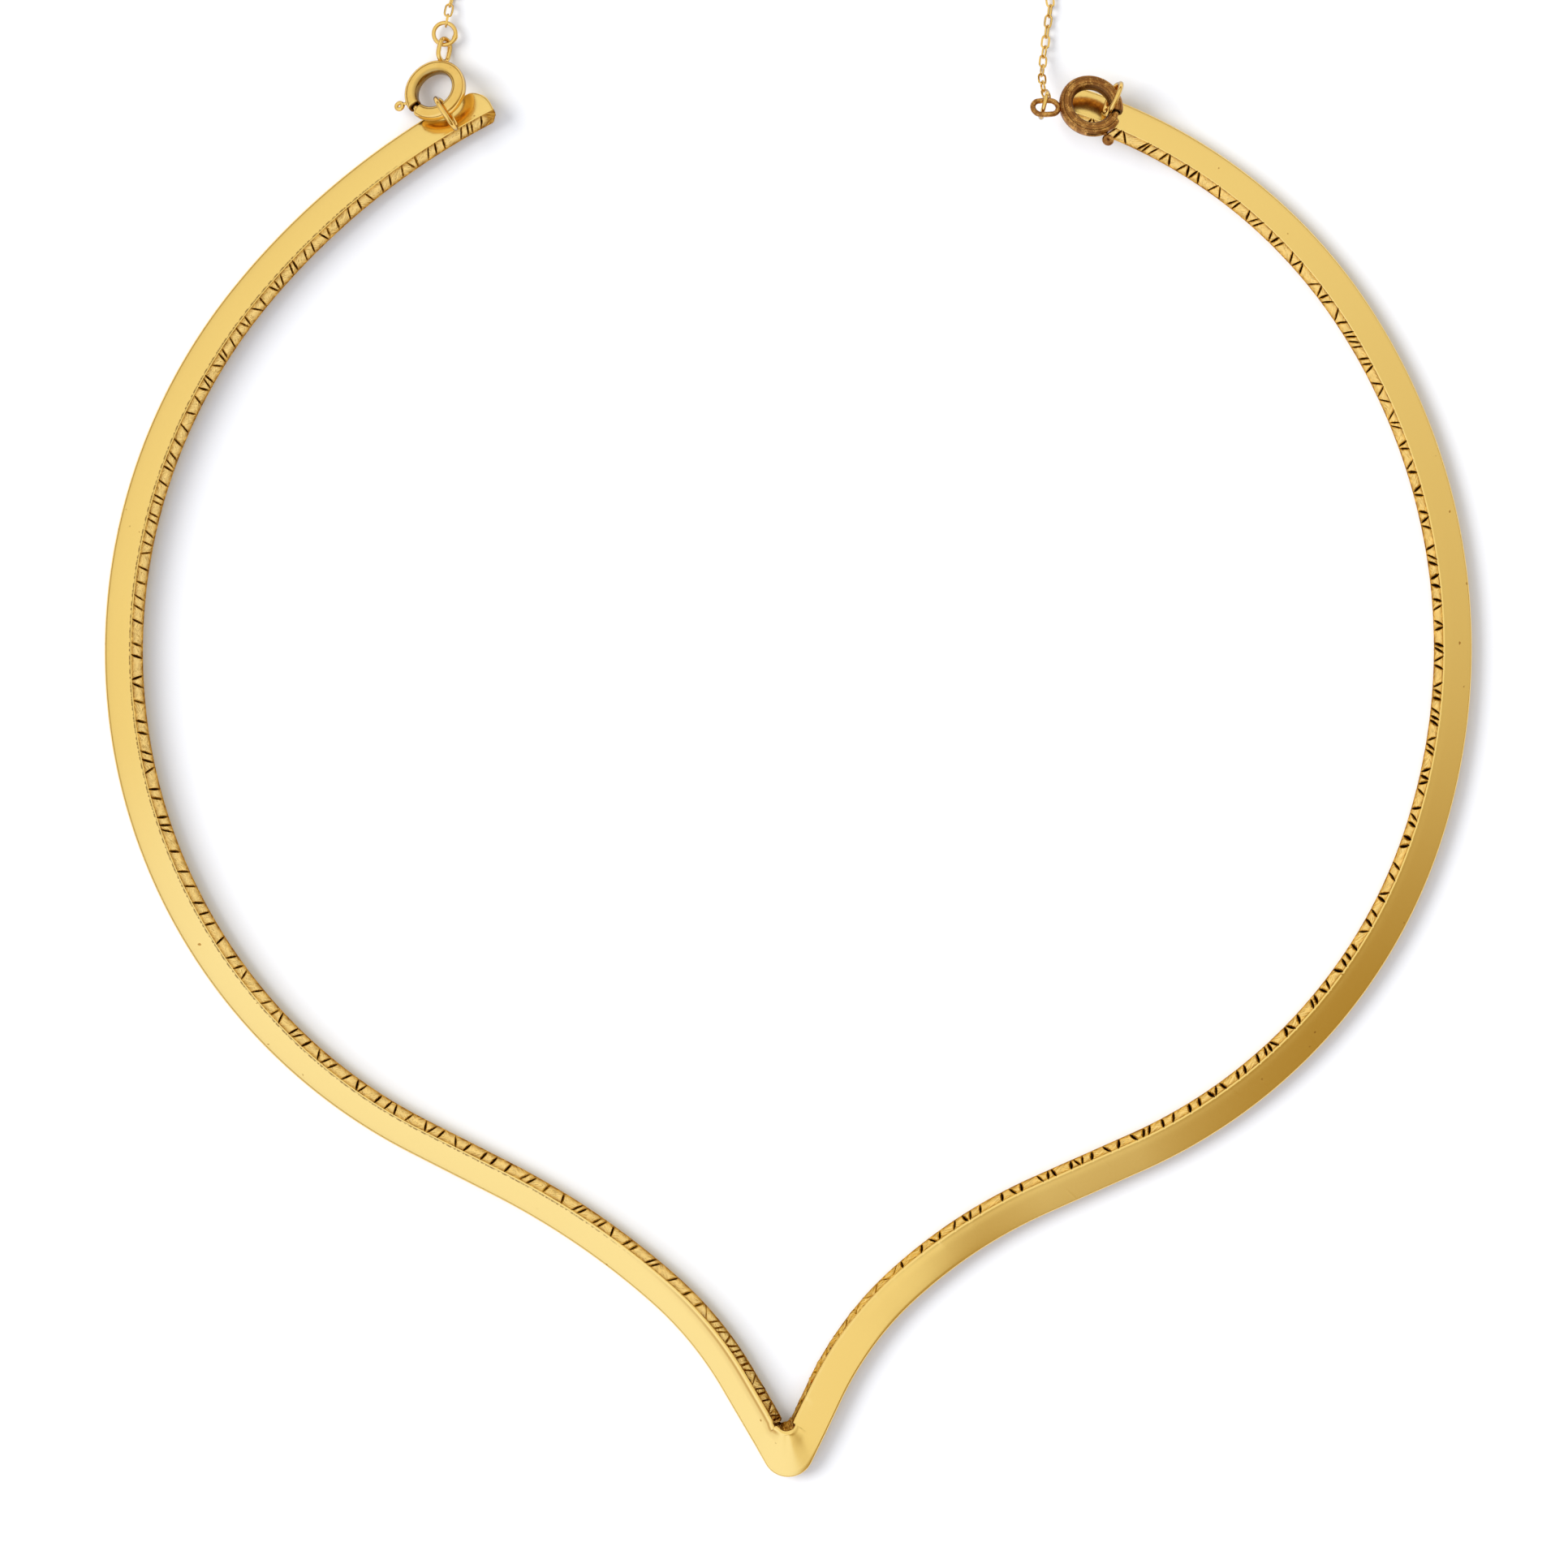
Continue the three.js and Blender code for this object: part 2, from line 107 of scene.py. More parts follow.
def makeKeyLight():
    azimuth, elevation = math.radians(studio["keyAzimuth"]), math.radians(studio["keyElevation"])
    light = bpy.data.lights.new("keyLight", "SUN")
    light.energy = studio["keyPower"]
    light.angle = math.radians(studio["keyAngle"])
    key = bpy.data.objects.new("keyLight", light)
    level = math.cos(elevation)
    away = Vector((math.cos(azimuth) * level, math.sin(azimuth) * level, math.sin(elevation)))
    key.rotation_euler = away.to_track_quat("Z", "Y").to_euler()
    key.visible_glossy = False  # it casts the soft shadow; the room gives the metal its reflections
    bpy.context.scene.collection.objects.link(key)


def rampNode(tree, value, stops, kind="EASE"):
    node = tree.nodes.new("ShaderNodeValToRGB")
    node.color_ramp.interpolation = kind
    for k, (at, level) in enumerate(stops):
        stop = node.color_ramp.elements[k] if k < 2 else node.color_ramp.elements.new(at)
        stop.position = at
        stop.color = (level, level, level, 1)
    plug(tree, value, node.inputs[0])
    return node.outputs["Color"]


# How far a direction is turned to an azimuth: 1 towards it and 0 away from it, whatever its height.
def turnedTo(tree, place, azimuth):
    a = math.radians(azimuth)
    level = vectorCalc(tree, "MULTIPLY", place, (1, 1, 0))
    unit = vectorCalc(tree, "NORMALIZE", level)
    dot = vectorCalc(tree, "DOT_PRODUCT", unit, (math.cos(a), math.sin(a), 0))
    return calc(tree, "MULTIPLY_ADD", dot, 0.5, 0.5)


def makeRoom():
    world = bpy.data.worlds.new("room")
    bpy.context.scene.world = world
    bpy.context.scene.view_settings.view_transform = "Standard"
    world.use_nodes = True
    tree = world.node_tree
    tree.nodes.clear()
    place = tree.nodes.new("ShaderNodeTexCoord").outputs["Generated"]
    height = tree.nodes.new("ShaderNodeSeparateXYZ")
    tree.links.new(place, height.inputs[0])
    low = rampNode(tree, height.outputs["Z"], room["lowStops"])
    dark = rampNode(tree, turnedTo(tree, place, room["darkSide"]), room["darkStops"], "LINEAR")
    cool = rampNode(tree, turnedTo(tree, place, room["coolSide"]), room["coolStops"])
    dim = rampNode(tree, height.outputs["Z"], room["dimStops"])
    sky = blendColor(tree, calc(tree, "MULTIPLY", dark, low), room["pale"], room["brown"])
    sky = blendColor(tree, cool, sky, room["cool"])
    sky = blendColor(tree, dim, sky, room["dim"])
    background = tree.nodes.new("ShaderNodeBackground")
    output = tree.nodes.new("ShaderNodeOutputWorld")
    tree.links.new(sky, background.inputs["Color"])
    tree.links.new(background.outputs["Background"], output.inputs["Surface"])


def makeFloor():
    bpy.ops.mesh.primitive_plane_add(size=studio["paperWidth"], location=(0, 0, -studio["paperDrop"]))
    floor = bpy.context.object
    floor.name = "floor"
    material = bpy.data.materials.new("paperFloor")
    material.use_nodes = True
    paper = material.node_tree.nodes["Principled BSDF"]
    paper.inputs["Base Color"].default_value = (studio["paper"], studio["paper"], studio["paper"], 1)
    paper.inputs["Roughness"].default_value = studio["paperRoughness"]
    paper.inputs["Specular IOR Level"].default_value = 0.1
    floor.data.materials.append(material)


# Nodes, and the effects that several finishes share.

def newGroup(name, inputs, outputs):
    group = bpy.data.node_groups.new(name, "ShaderNodeTree")
    for label, kind, value in inputs:
        socket = group.interface.new_socket(label, in_out="INPUT", socket_type="NodeSocket" + kind)
        socket.default_value = value
    for label, kind in outputs:
        group.interface.new_socket(label, in_out="OUTPUT", socket_type="NodeSocket" + kind)
    return group, group.nodes.new("NodeGroupInput"), group.nodes.new("NodeGroupOutput")


def plug(tree, value, socket):
    if isinstance(value, bpy.types.NodeSocket):
        tree.links.new(value, socket)
    elif isinstance(value, tuple):
        socket.default_value = (*value, 1) if len(socket.default_value) == 4 else value
    else:
        socket.default_value = value


def calc(tree, operation, *values, clamp=False):
    node = tree.nodes.new("ShaderNodeMath")
    node.operation = operation
    node.use_clamp = clamp
    for socket, value in zip(node.inputs, values):
        plug(tree, value, socket)
    return node.outputs[0]


def vectorCalc(tree, operation, *values):
    node = tree.nodes.new("ShaderNodeVectorMath")
    node.operation = operation
    for socket, value in zip(node.inputs, values):
        plug(tree, value, socket)
    return node.outputs["Value" if operation == "DOT_PRODUCT" else "Vector"]


def objectPlace(tree):
    return tree.nodes.new("ShaderNodeTexCoord").outputs["Object"]


def noise(tree, vector, scale, detail=3.0, roughness=0.5):
    node = tree.nodes.new("ShaderNodeTexNoise")
    plug(tree, vector, node.inputs["Vector"])
    plug(tree, scale, node.inputs["Scale"])
    node.inputs["Detail"].default_value = detail
    node.inputs["Roughness"].default_value = roughness
    return node.outputs["Fac"]


def blendColor(tree, share, a, b):
    node = tree.nodes.new("ShaderNodeMix")
    node.data_type = "RGBA"
    plug(tree, share, node.inputs[0])
    plug(tree, a, node.inputs[6])
    plug(tree, b, node.inputs[7])
    return node.outputs[2]


def bump(tree, height, strength, depth, normal=None):
    node = tree.nodes.new("ShaderNodeBump")
    node.inputs["Strength"].default_value = strength
    node.inputs["Distance"].default_value = depth
    tree.links.new(height, node.inputs["Height"])
    if normal:
        tree.links.new(normal, node.inputs["Normal"])
    return node.outputs["Normal"]


def readPoint(tree, name):
    node = tree.nodes.new("ShaderNodeAttribute")
    node.attribute_name = name
    return node.outputs["Fac"]


makeCamera()
makeKeyLight()
makeRoom()
makeFloor()
print("camera, room and floor are up")


def makeToneDrift():
    group, given, result = newGroup(
        "toneDrift",
        [("Color", "Color", (0.8, 0.6, 0.2, 1)), ("Warm", "Color", (0.7, 0.4, 0.1, 1)),
         ("Scale", "Float", 60.0), ("Amount", "Float", 0.3)],
        [("Color", "Color")],
    )
    slow = noise(group, objectPlace(group), given.outputs["Scale"], 2.0)
    share = calc(group, "MULTIPLY", slow, given.outputs["Amount"])
    warmed = blendColor(group, share, given.outputs["Color"], given.outputs["Warm"])
    group.links.new(warmed, result.inputs["Color"])
    return group


def makeFineGrain():
    group, given, result = newGroup(
        "fineGrain", [("Scale", "Float", 9000.0), ("Contrast", "Float", 1.0)], [("Grain", "Float")],
    )
    grain = noise(group, objectPlace(group), given.outputs["Scale"], 2.0, 0.6)
    centred = calc(group, "SUBTRACT", grain, 0.5)
    contrasted = calc(group, "MULTIPLY_ADD", centred, given.outputs["Contrast"], 0.5)
    group.links.new(contrasted, result.inputs["Grain"])
    return group


def makeHandling():
    group, given, result = newGroup(
        "handling",
        [("Scale", "Float", 300.0), ("Turn", "Float", 0.6), ("Rarity", "Float", 0.72)],
        [("Mask", "Float")],
    )
    turn = group.nodes.new("ShaderNodeVectorRotate")
    turn.rotation_type = "Z_AXIS"
    group.links.new(objectPlace(group), turn.inputs["Vector"])
    group.links.new(given.outputs["Turn"], turn.inputs["Angle"])
    drawn = vectorCalc(group, "MULTIPLY", turn.outputs["Vector"], (1, 14, 1))
    streak = noise(group, drawn, given.outputs["Scale"], 1.0)
    over = calc(group, "SUBTRACT", streak, given.outputs["Rarity"])
    group.links.new(calc(group, "MULTIPLY", over, 14.0, clamp=True), result.inputs["Mask"])
    return group


effects = {"toneDrift": makeToneDrift(), "fineGrain": makeFineGrain(), "handling": makeHandling()}


def effect(tree, name, **values):
    node = tree.nodes.new("ShaderNodeGroup")
    node.node_tree = effects[name]
    for label, value in values.items():
        plug(tree, value, node.inputs[label.capitalize()])
    return node.outputs[0]


def newMetal(name):
    material = bpy.data.materials.new(name)
    material.use_nodes = True
    shader = material.node_tree.nodes["Principled BSDF"]
    shader.inputs["Metallic"].default_value = 1
    return material, material.node_tree, shader


def alongOnly(tree):
    node = tree.nodes.new("ShaderNodeCombineXYZ")
    tree.links.new(readPoint(tree, "along"), node.inputs[0])
    return node.outputs[0]


def satinGold():
    look = {
        "gold": (0.925, 0.655, 0.205), "warm": (0.89, 0.59, 0.165),
        "dash": (0.24, 0.12, 0.03), "paintedShadeAndBrown": (0.52, 0.27, 0.05),
    }
    material, tree, shader = newMetal("satinGold")
    grain = effect(tree, "fineGrain", scale=6000.0, contrast=1.2)
    scratch = effect(tree, "handling", scale=260.0, turn=0.7, rarity=0.7)
    color = effect(tree, "toneDrift", color=look["gold"], warm=look["warm"], scale=55.0, amount=0.5)
    # Painted shade: the face is painted brown beside the ridge where the layer read here is high. The same
    # brown marks the specks below.
    color = blendColor(tree, readPoint(tree, "paintedShadeAndBrown"), color, look["paintedShadeAndBrown"])
    beat = calc(tree, "MULTIPLY_ADD", noise(tree, alongOnly(tree), 2.3, 1.0), 12.0, -5.4, clamp=True)
    color = blendColor(tree, calc(tree, "MULTIPLY", beat, readPoint(tree, "seam")), color, look["dash"])
    speck = noise(tree, objectPlace(tree), 1500.0, 1.0)
    speck = calc(tree, "MULTIPLY_ADD", speck, 30.0, -23.4, clamp=True)
    color = blendColor(tree, speck, color, look["paintedShadeAndBrown"])
    tree.links.new(color, shader.inputs["Base Color"])
    rough = calc(tree, "MULTIPLY_ADD", grain, 0.08, 0.13)
    tree.links.new(calc(tree, "MULTIPLY_ADD", scratch, -0.05, rough), shader.inputs["Roughness"])
    normal = bump(tree, grain, 0.12, 0.00001)
    tree.links.new(bump(tree, scratch, 0.12, 0.00001, normal), shader.inputs["Normal"])
    return material


# Streaks left by the tool on the worked edge, leaning one way or the other from one place to the next.
def makeToolStreaks():
    group, given, result = newGroup(
        "toolStreaks", [("Length", "Float", 2.2), ("Fineness", "Float", 9.0)], [("Height", "Float")],
    )
    place = group.nodes.new("ShaderNodeCombineXYZ")
    group.links.new(readPoint(group, "along"), place.inputs[0])
    group.links.new(readPoint(group, "across"), place.inputs[1])
    size = group.nodes.new("ShaderNodeCombineXYZ")
    group.links.new(given.outputs["Length"], size.inputs[0])
    group.links.new(given.outputs["Fineness"], size.inputs[1])
    streaks = []
    for lean in (0.75, -0.9):  # radians
        turn = group.nodes.new("ShaderNodeVectorRotate")
        turn.rotation_type = "Z_AXIS"
        turn.inputs["Angle"].default_value = lean
        group.links.new(place.outputs[0], turn.inputs["Vector"])
        drawn = vectorCalc(group, "MULTIPLY", turn.outputs["Vector"], size.outputs[0])
        streaks.append(noise(group, drawn, 1.0, 1.0, 0.5))
    patch = noise(group, place.outputs[0], 0.8, 1.0)
    which = calc(group, "MULTIPLY_ADD", patch, 8.0, -3.5, clamp=True)
    mixed = blendColor(group, which, streaks[0], streaks[1])
    group.links.new(calc(group, "MULTIPLY_ADD", mixed, 4.4, -1.75, clamp=True), result.inputs["Height"])
    return group


effects["toolStreaks"] = makeToolStreaks()


def workedGold():
    look = {
        "bright": (0.96, 0.56, 0.125), "brown": (0.26, 0.09, 0.01), "lipHighlight": (1.0, 0.74, 0.28),
        "cut": (0.012, 0.004, 0.001), "crumple": (0.14, 0.05, 0.008), "glancing": (0.6, 0.38, 0.16, 1),
    }
    material, tree, shader = newMetal("workedGold")
    height = effect(tree, "toolStreaks", length=1.1, fineness=4.2)
    fine = effect(tree, "toolStreaks", length=3.0, fineness=9.0)
    both = calc(tree, "MULTIPLY_ADD", fine, 0.15, calc(tree, "MULTIPLY", height, 0.85))
    patch = noise(tree, objectPlace(tree), 1300.0, 3.0, 0.6)
    patch = calc(tree, "MULTIPLY_ADD", patch, 5.0, -2.0, clamp=True)
    gleam = calc(tree, "MULTIPLY_ADD", patch, 0.4, calc(tree, "MULTIPLY", both, 0.6))
    color = blendColor(tree, gleam, look["brown"], look["bright"])
    marks = noise(tree, objectPlace(tree), 2600.0, 3.0, 0.7)
    marks = calc(tree, "MULTIPLY_ADD", marks, 7.0, -2.1, clamp=True)
    shadeAndBrownShare = calc(tree, "MULTIPLY", marks, readPoint(tree, "paintedShadeAndBrown"))
    color = blendColor(tree, shadeAndBrownShare, color, look["crumple"])
    # Painted highlight: the lips of the nicks are painted a paler gold, as if they caught the light.
    lipHighlight = calc(tree, "MULTIPLY_ADD", readPoint(tree, "lipHighlight"), 1.8, -0.8, clamp=True)
    color = blendColor(tree, calc(tree, "MULTIPLY", lipHighlight, 0.8), color, look["lipHighlight"])
    # Painted shade: the nicks are painted darker the deeper they are, and black from the depth the collar
    # gives.
    cut = calc(tree, "MULTIPLY_ADD", readPoint(tree, "cut"), 2.4, -0.35, clamp=True)
    color = blendColor(tree, cut, color, look["cut"])
    tree.links.new(color, shader.inputs["Base Color"])
    shader.inputs["Specular Tint"].default_value = look["glancing"]
    tree.links.new(calc(tree, "MULTIPLY_ADD", cut, 0.4, 0.26), shader.inputs["Roughness"])
    tree.links.new(bump(tree, both, 1.0, 0.00004), shader.inputs["Normal"])
    return material


# Full where the metal turns its side to the eye, and nothing short of start. It marks the outline that is
# painted dark, as painted shade.
def grazing(tree, start, gain):
    node = tree.nodes.new("ShaderNodeLayerWeight")
    node.inputs["Blend"].default_value = 0.5
    return calc(tree, "MULTIPLY_ADD", node.outputs["Facing"], gain, -start * gain, clamp=True)


def polishedGold():
    look = {"gold": (0.9, 0.62, 0.19), "warm": (0.78, 0.46, 0.1), "paintedShadeAndMarks": (0.12, 0.05, 0.012)}
    material, tree, shader = newMetal("polishedGold")
    color = effect(tree, "toneDrift", color=look["gold"], warm=look["warm"], scale=900.0, amount=0.9)
    speck = noise(tree, objectPlace(tree), 2600.0, 2.0)
    speck = calc(tree, "MULTIPLY_ADD", speck, 12.0, -8.4, clamp=True)
    # Dark specks; painted shade in the ring's hollows, from the layer read here; and painted shade along
    # the outline, where the metal turns away.
    shadeAndMarkShare = calc(tree, "MAXIMUM", readPoint(tree, "paintedShadeAndMarks"), calc(tree, "MULTIPLY", speck, 0.6))
    glancing = calc(tree, "MULTIPLY", grazing(tree, 0.42, 2.2), 0.8)
    shadeAndMarkShare = calc(tree, "MAXIMUM", shadeAndMarkShare, glancing)
    color = blendColor(tree, shadeAndMarkShare, color, look["paintedShadeAndMarks"])
    tree.links.new(color, shader.inputs["Base Color"])
    grain = effect(tree, "fineGrain", scale=4000.0, contrast=1.0)
    tree.links.new(calc(tree, "MULTIPLY_ADD", grain, 0.1, 0.08), shader.inputs["Roughness"])
    tree.links.new(bump(tree, grain, 0.35, 0.00001), shader.inputs["Normal"])
    return material


def agedBronze():
    look = {
        "patina": (0.43, 0.19, 0.046), "brown": (0.2, 0.067, 0.015),
        "gold": (0.7, 0.37, 0.095), "paintedShadeAndMarks": (0.05, 0.02, 0.008),
    }
    material, tree, shader = newMetal("agedBronze")
    patina = effect(tree, "toneDrift", color=look["patina"], warm=look["brown"], scale=700.0, amount=1.0)
    speckle = noise(tree, objectPlace(tree), 8000.0, 3.0, 0.7)
    rubbed = noise(tree, objectPlace(tree), 1500.0, 2.0)
    mask = calc(tree, "MULTIPLY_ADD", calc(tree, "ADD", speckle, rubbed), 4.5, -4.4, clamp=True)
    color = blendColor(tree, mask, patina, look["gold"])
    # Painted shade in the ring's hollows, from the layer read here, which also darkens the seams; and
    # painted shade along the outline, where the metal turns away.
    glancing = calc(tree, "MULTIPLY", grazing(tree, 0.5, 2.2), 0.7)
    shadeAndMarkShare = calc(tree, "MAXIMUM", readPoint(tree, "paintedShadeAndMarks"), glancing)
    color = blendColor(tree, shadeAndMarkShare, color, look["paintedShadeAndMarks"])
    tree.links.new(color, shader.inputs["Base Color"])
    tree.links.new(calc(tree, "MULTIPLY_ADD", speckle, 0.2, 0.2), shader.inputs["Roughness"])
    tree.links.new(bump(tree, speckle, 0.5, 0.00002), shader.inputs["Normal"])
    return material


finishes = {
    "satin": satinGold(), "worked": workedGold(), "polished": polishedGold(), "bronze": agedBronze(),
}
sharpFrom = 35  # degrees between faces from which their edge is left sharp
print("metals are mixed")


# Making meshes.

def addLayer(mesh, name, values):
    layer = mesh.attributes.new(name, "FLOAT", "POINT")
    layer.data.foreach_set("value", np.asarray(values).reshape(-1).astype(np.float32))


def makePiece(name, points, faces, metals, body="choker", paintedShadeAndMarks=None):
    mesh = bpy.data.meshes.new(name)
    mesh.from_pydata(((np.asarray(points) + vPoint) * mm).tolist(), [], faces)
    for metal in metals:
        mesh.materials.append(finishes[metal])
    # A layer of painted shade and dark marks, for pieces that have one.
    if paintedShadeAndMarks is not None:
        addLayer(mesh, "paintedShadeAndMarks", paintedShadeAndMarks)
    facing = bmesh.new()
    facing.from_mesh(mesh)
    bmesh.ops.recalc_face_normals(facing, faces=facing.faces)
    facing.to_mesh(mesh)
    facing.free()
    mesh.shade_smooth()
    mesh.set_sharp_from_angle(angle=math.radians(sharpFrom))
    piece = bpy.data.objects.new(name, mesh)
    bpy.context.scene.collection.objects.link(piece)
    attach(piece, body)
    return piece


def gridFaces(rows, count):
    faces = []
    for i in range(rows - 1):
        for j in range(count):
            a, b = i * count + j, i * count + (j + 1) % count
            faces.append((a, b, b + count, a + count))
    return faces


def wholeTurn(count):
    return np.linspace(0, 2 * math.pi, count, endpoint=False)


# Points of a circle of radius 1 in the plane of two directions.
def circle(turn, first=(1, 0, 0), second=(0, 1, 0)):
    return np.cos(turn)[:, None] * first + np.sin(turn)[:, None] * second


capTurns = (80, 60, 40, 20)  # degrees at which the round end of a wire has its rows


# A round wire along a row of points. It closes on itself, or ends in half spheres.
def wireMesh(line, radius, sides=16, closed=False, up=(0, 0, 1)):
    line = np.asarray(line, float)
    if closed:
        tangent = np.roll(line, -1, 0) - np.roll(line, 1, 0)
    else:
        tangent = np.gradient(line, axis=0)
    tangent /= np.linalg.norm(tangent, axis=1)[:, None]
    radii = np.full(len(line), radius) if np.isscalar(radius) else np.asarray(radius, float)
    if not closed:
        caps = np.radians(capTurns)
        ends = []
        for k, sign in ((0, -1), (-1, 1)):
            at = line[k] + sign * radii[k] * np.sin(caps)[:, None] * tangent[k]
            size = radii[k] * np.cos(caps)
            ends.append((at, size) if k == 0 else (at[::-1], size[::-1]))
        line = np.vstack([ends[0][0], line, ends[1][0]])
        radii = np.concatenate([ends[0][1], radii, ends[1][1]])
        first, final = (np.repeat(tangent[k][None], len(caps), 0) for k in (0, -1))
        tangent = np.vstack([first, tangent, final])
    side = np.cross(tangent, np.asarray(up, float))
    side /= np.linalg.norm(side, axis=1)[:, None]
    top = np.cross(side, tangent)
    turn = wholeTurn(sides)
    around = np.cos(turn)[None, :, None] * side[:, None] + np.sin(turn)[None, :, None] * top[:, None]
    points = (line[:, None] + around * radii[:, None, None]).reshape(-1, 3)
    faces = gridFaces(len(line), sides)
    last = (len(line) - 1) * sides
    if closed:
        faces += [(last + j, last + (j + 1) % sides, (j + 1) % sides, j) for j in range(sides)]
    else:
        faces += [tuple(range(sides))[::-1], tuple(last + j for j in range(sides))]
    return points, faces


# An oval of round wire about the middle, long along the first axis and lying across the third.
def ovalLine(halfLength, halfWidth, count=40):
    straight = halfLength - halfWidth
    turn = wholeTurn(count)
    c, s = np.cos(turn), np.sin(turn)
    x = halfWidth * c + straight * np.sign(c) * np.minimum(1, np.abs(c) * 3)
    return np.stack([x, halfWidth * s, np.zeros(count)], 1)


def joinMeshes(parts):
    points, faces = [], []
    for partPoints, partFaces in parts:
        start = sum(len(p) for p in points)
        points.append(partPoints)
        faces += [tuple(start + v for v in face) for face in partFaces]
    return np.vstack(points), faces


def placed(mesh, basis, at):
    points, faces = mesh
    return points @ np.asarray(basis) + np.asarray(at), faces


# The collar.

collar = {
    "thickness": 1.9,
    "restFlat": 0.45,        # how much of the lowest edge is worn flat
    "tipFan": 5.8,           # along the rim, where sections fan out about the inner point of the V
    "fanBlend": 1.6,
    "innerX": -0.2, "innerY": 5.95, "innerRadius": 0.75,
    "endRound": 1.7, "endBevel": 0.45, "endRim": 0.3, "endZone": 3.0,
    "rimRadius": 0.25, "innerEdgeRadius": 0.12, "crown": 0.015,
    "creaseDepth": 0.05, "creaseLength": 0.7,              # of the fold at the V
    "dashFrom": 22, "dashEase": 10, "dashStop": 8, "dashDepth": 0.03,
    # painted shade: where the face is painted brown beside the ridge, and how it comes in and fades
    "shadeFrom": 1.2, "shadeEase": 2, "shadeTo": 12,       # the brown part of the face, beside the ridge
    "bumps": 0.012, "crumple": 0.09, "crumpleTo": 10,      # on the worked edge, everywhere and by the V
    "fade": 14, "browned": 0.28, "bumpSeed": 11,
    # painted shade: from this depth on, a cut is painted black
    "darkCut": 0.14,         # a cut this deep is all black
    "nickGap": 0.22, "leanGap": 0.2, "plainEnd": 1.3,
    "spacing": 0.3,          # of plain columns
}
# The rim of each side, walked from the point of the V: arcs and straights. A negative radius turns
# outwards. The wire's rows are eased into each other. A row of nicks holds from its place on, and rest is
# the pause after a group of them. Zigzag is how often a nick leans the other way, and together gives the
# smallest group and one more than the largest.
# The left side alone has painted shade on its face beside the ridge, and a browned worked edge.
right = {
    "sign": 1,
    "rim": [
        {"length": 2.7, "radius": 2.4}, {"length": 6.4, "radius": None},
        {"length": 11.5, "radius": -29.5}, {"length": 14.5, "radius": -45.5},
        {"length": 9.5, "radius": None}, {"length": 41.5, "radius": 49.5},
        {"length": 51.5, "radius": 57}, {"length": 34.4, "radius": 49},
    ],
    "wire": [
        {"at": 0, "width": 3.4, "roll": 28, "ridge": 0.3},
        {"at": 6, "width": 3.46, "roll": 7, "ridge": 0.3},
        {"at": 12, "width": 3.53, "roll": 11, "ridge": 0.26},
        {"at": 19, "width": 3.6, "roll": 16, "ridge": 0.18},
        {"at": 30, "width": 3.65, "roll": 22, "ridge": 0.16},
        {"at": 60, "width": 3.68, "roll": 24, "ridge": 0.14},
        {"at": 110, "width": 3.56, "roll": 24.5, "ridge": 0.12},
        {"at": 174, "width": 3.53, "roll": 30, "ridge": 0.08},
    ],
    "nicks": [
        {"from": 2.6, "pitch": 1.3, "width": 0.11, "depth": 0.09, "slant": 30, "taper": 2.5, "rest": 0},
        {"from": 20, "pitch": 0.9, "width": 0.26, "depth": 0.21, "slant": 15, "taper": 2, "rest": 0.8},
        {"from": 40, "pitch": 0.85, "width": 0.34, "depth": 0.24, "slant": 18, "taper": 2, "rest": 0.9},
        {"from": 85, "pitch": 0.65, "width": 0.28, "depth": 0.21, "slant": 20, "taper": 2, "rest": 0.9},
        {"from": 120, "pitch": 0.55, "width": 0.18, "depth": 0.16, "slant": 24, "taper": 2.5, "rest": 0.8},
    ],
    "zigzag": 0.45, "leaning": 1, "together": (2, 5), "dashes": 0.0, "paintedShadeAndBrown": 0.0, "seed": 21,
}
left = {
    "sign": -1,
    "rim": [
        {"length": 2.5, "radius": 2.4}, {"length": 8.1, "radius": None},
        {"length": 10, "radius": -31.5}, {"length": 17.5, "radius": -69},
        {"length": 8.5, "radius": None}, {"length": 48.5, "radius": 51},
        {"length": 44, "radius": 53}, {"length": 29.3, "radius": 69.5},
    ],
    "wire": [
        {"at": 0, "width": 3.4, "roll": 28, "ridge": 0.3},
        {"at": 8, "width": 3.52, "roll": 28, "ridge": 0.3},
        {"at": 26, "width": 3.5, "roll": 30, "ridge": 0.12},
        {"at": 50, "width": 3.5, "roll": 31, "ridge": 0.07},
        {"at": 95, "width": 3.64, "roll": 31, "ridge": 0.06},
        {"at": 145, "width": 3.64, "roll": 31, "ridge": 0.06},
        {"at": 170, "width": 3.56, "roll": 31, "ridge": 0.06},
    ],
    "nicks": [
        {"from": 3.0, "pitch": 0.55, "width": 0.08, "depth": 0.05, "slant": 26, "taper": 2, "rest": 0},
        {"from": 16, "pitch": 0.8, "width": 0.18, "depth": 0.13, "slant": 22, "taper": 2, "rest": 0.8},
        {"from": 42, "pitch": 0.9, "width": 0.19, "depth": 0.14, "slant": 20, "taper": 2, "rest": 0.9},
        {"from": 105, "pitch": 0.75, "width": 0.14, "depth": 0.11, "slant": 20, "taper": 2, "rest": 0.7},
    ],
    "zigzag": 0.3, "leaning": -1, "together": (1, 4), "dashes": 1.0, "paintedShadeAndBrown": 1.0, "seed": 7,
}


def easeRows(rows, distance, column):
    at = np.array([row["at"] for row in rows], float)
    value = np.array([row[column] for row in rows], float)
    k = np.clip(np.searchsorted(at, distance, side="right") - 1, 0, len(at) - 2)
    return value[k] + (value[k + 1] - value[k]) * smooth((distance - at[k]) / (at[k + 1] - at[k]))


def rimLength(side):
    return sum(row["length"] for row in side["rim"])


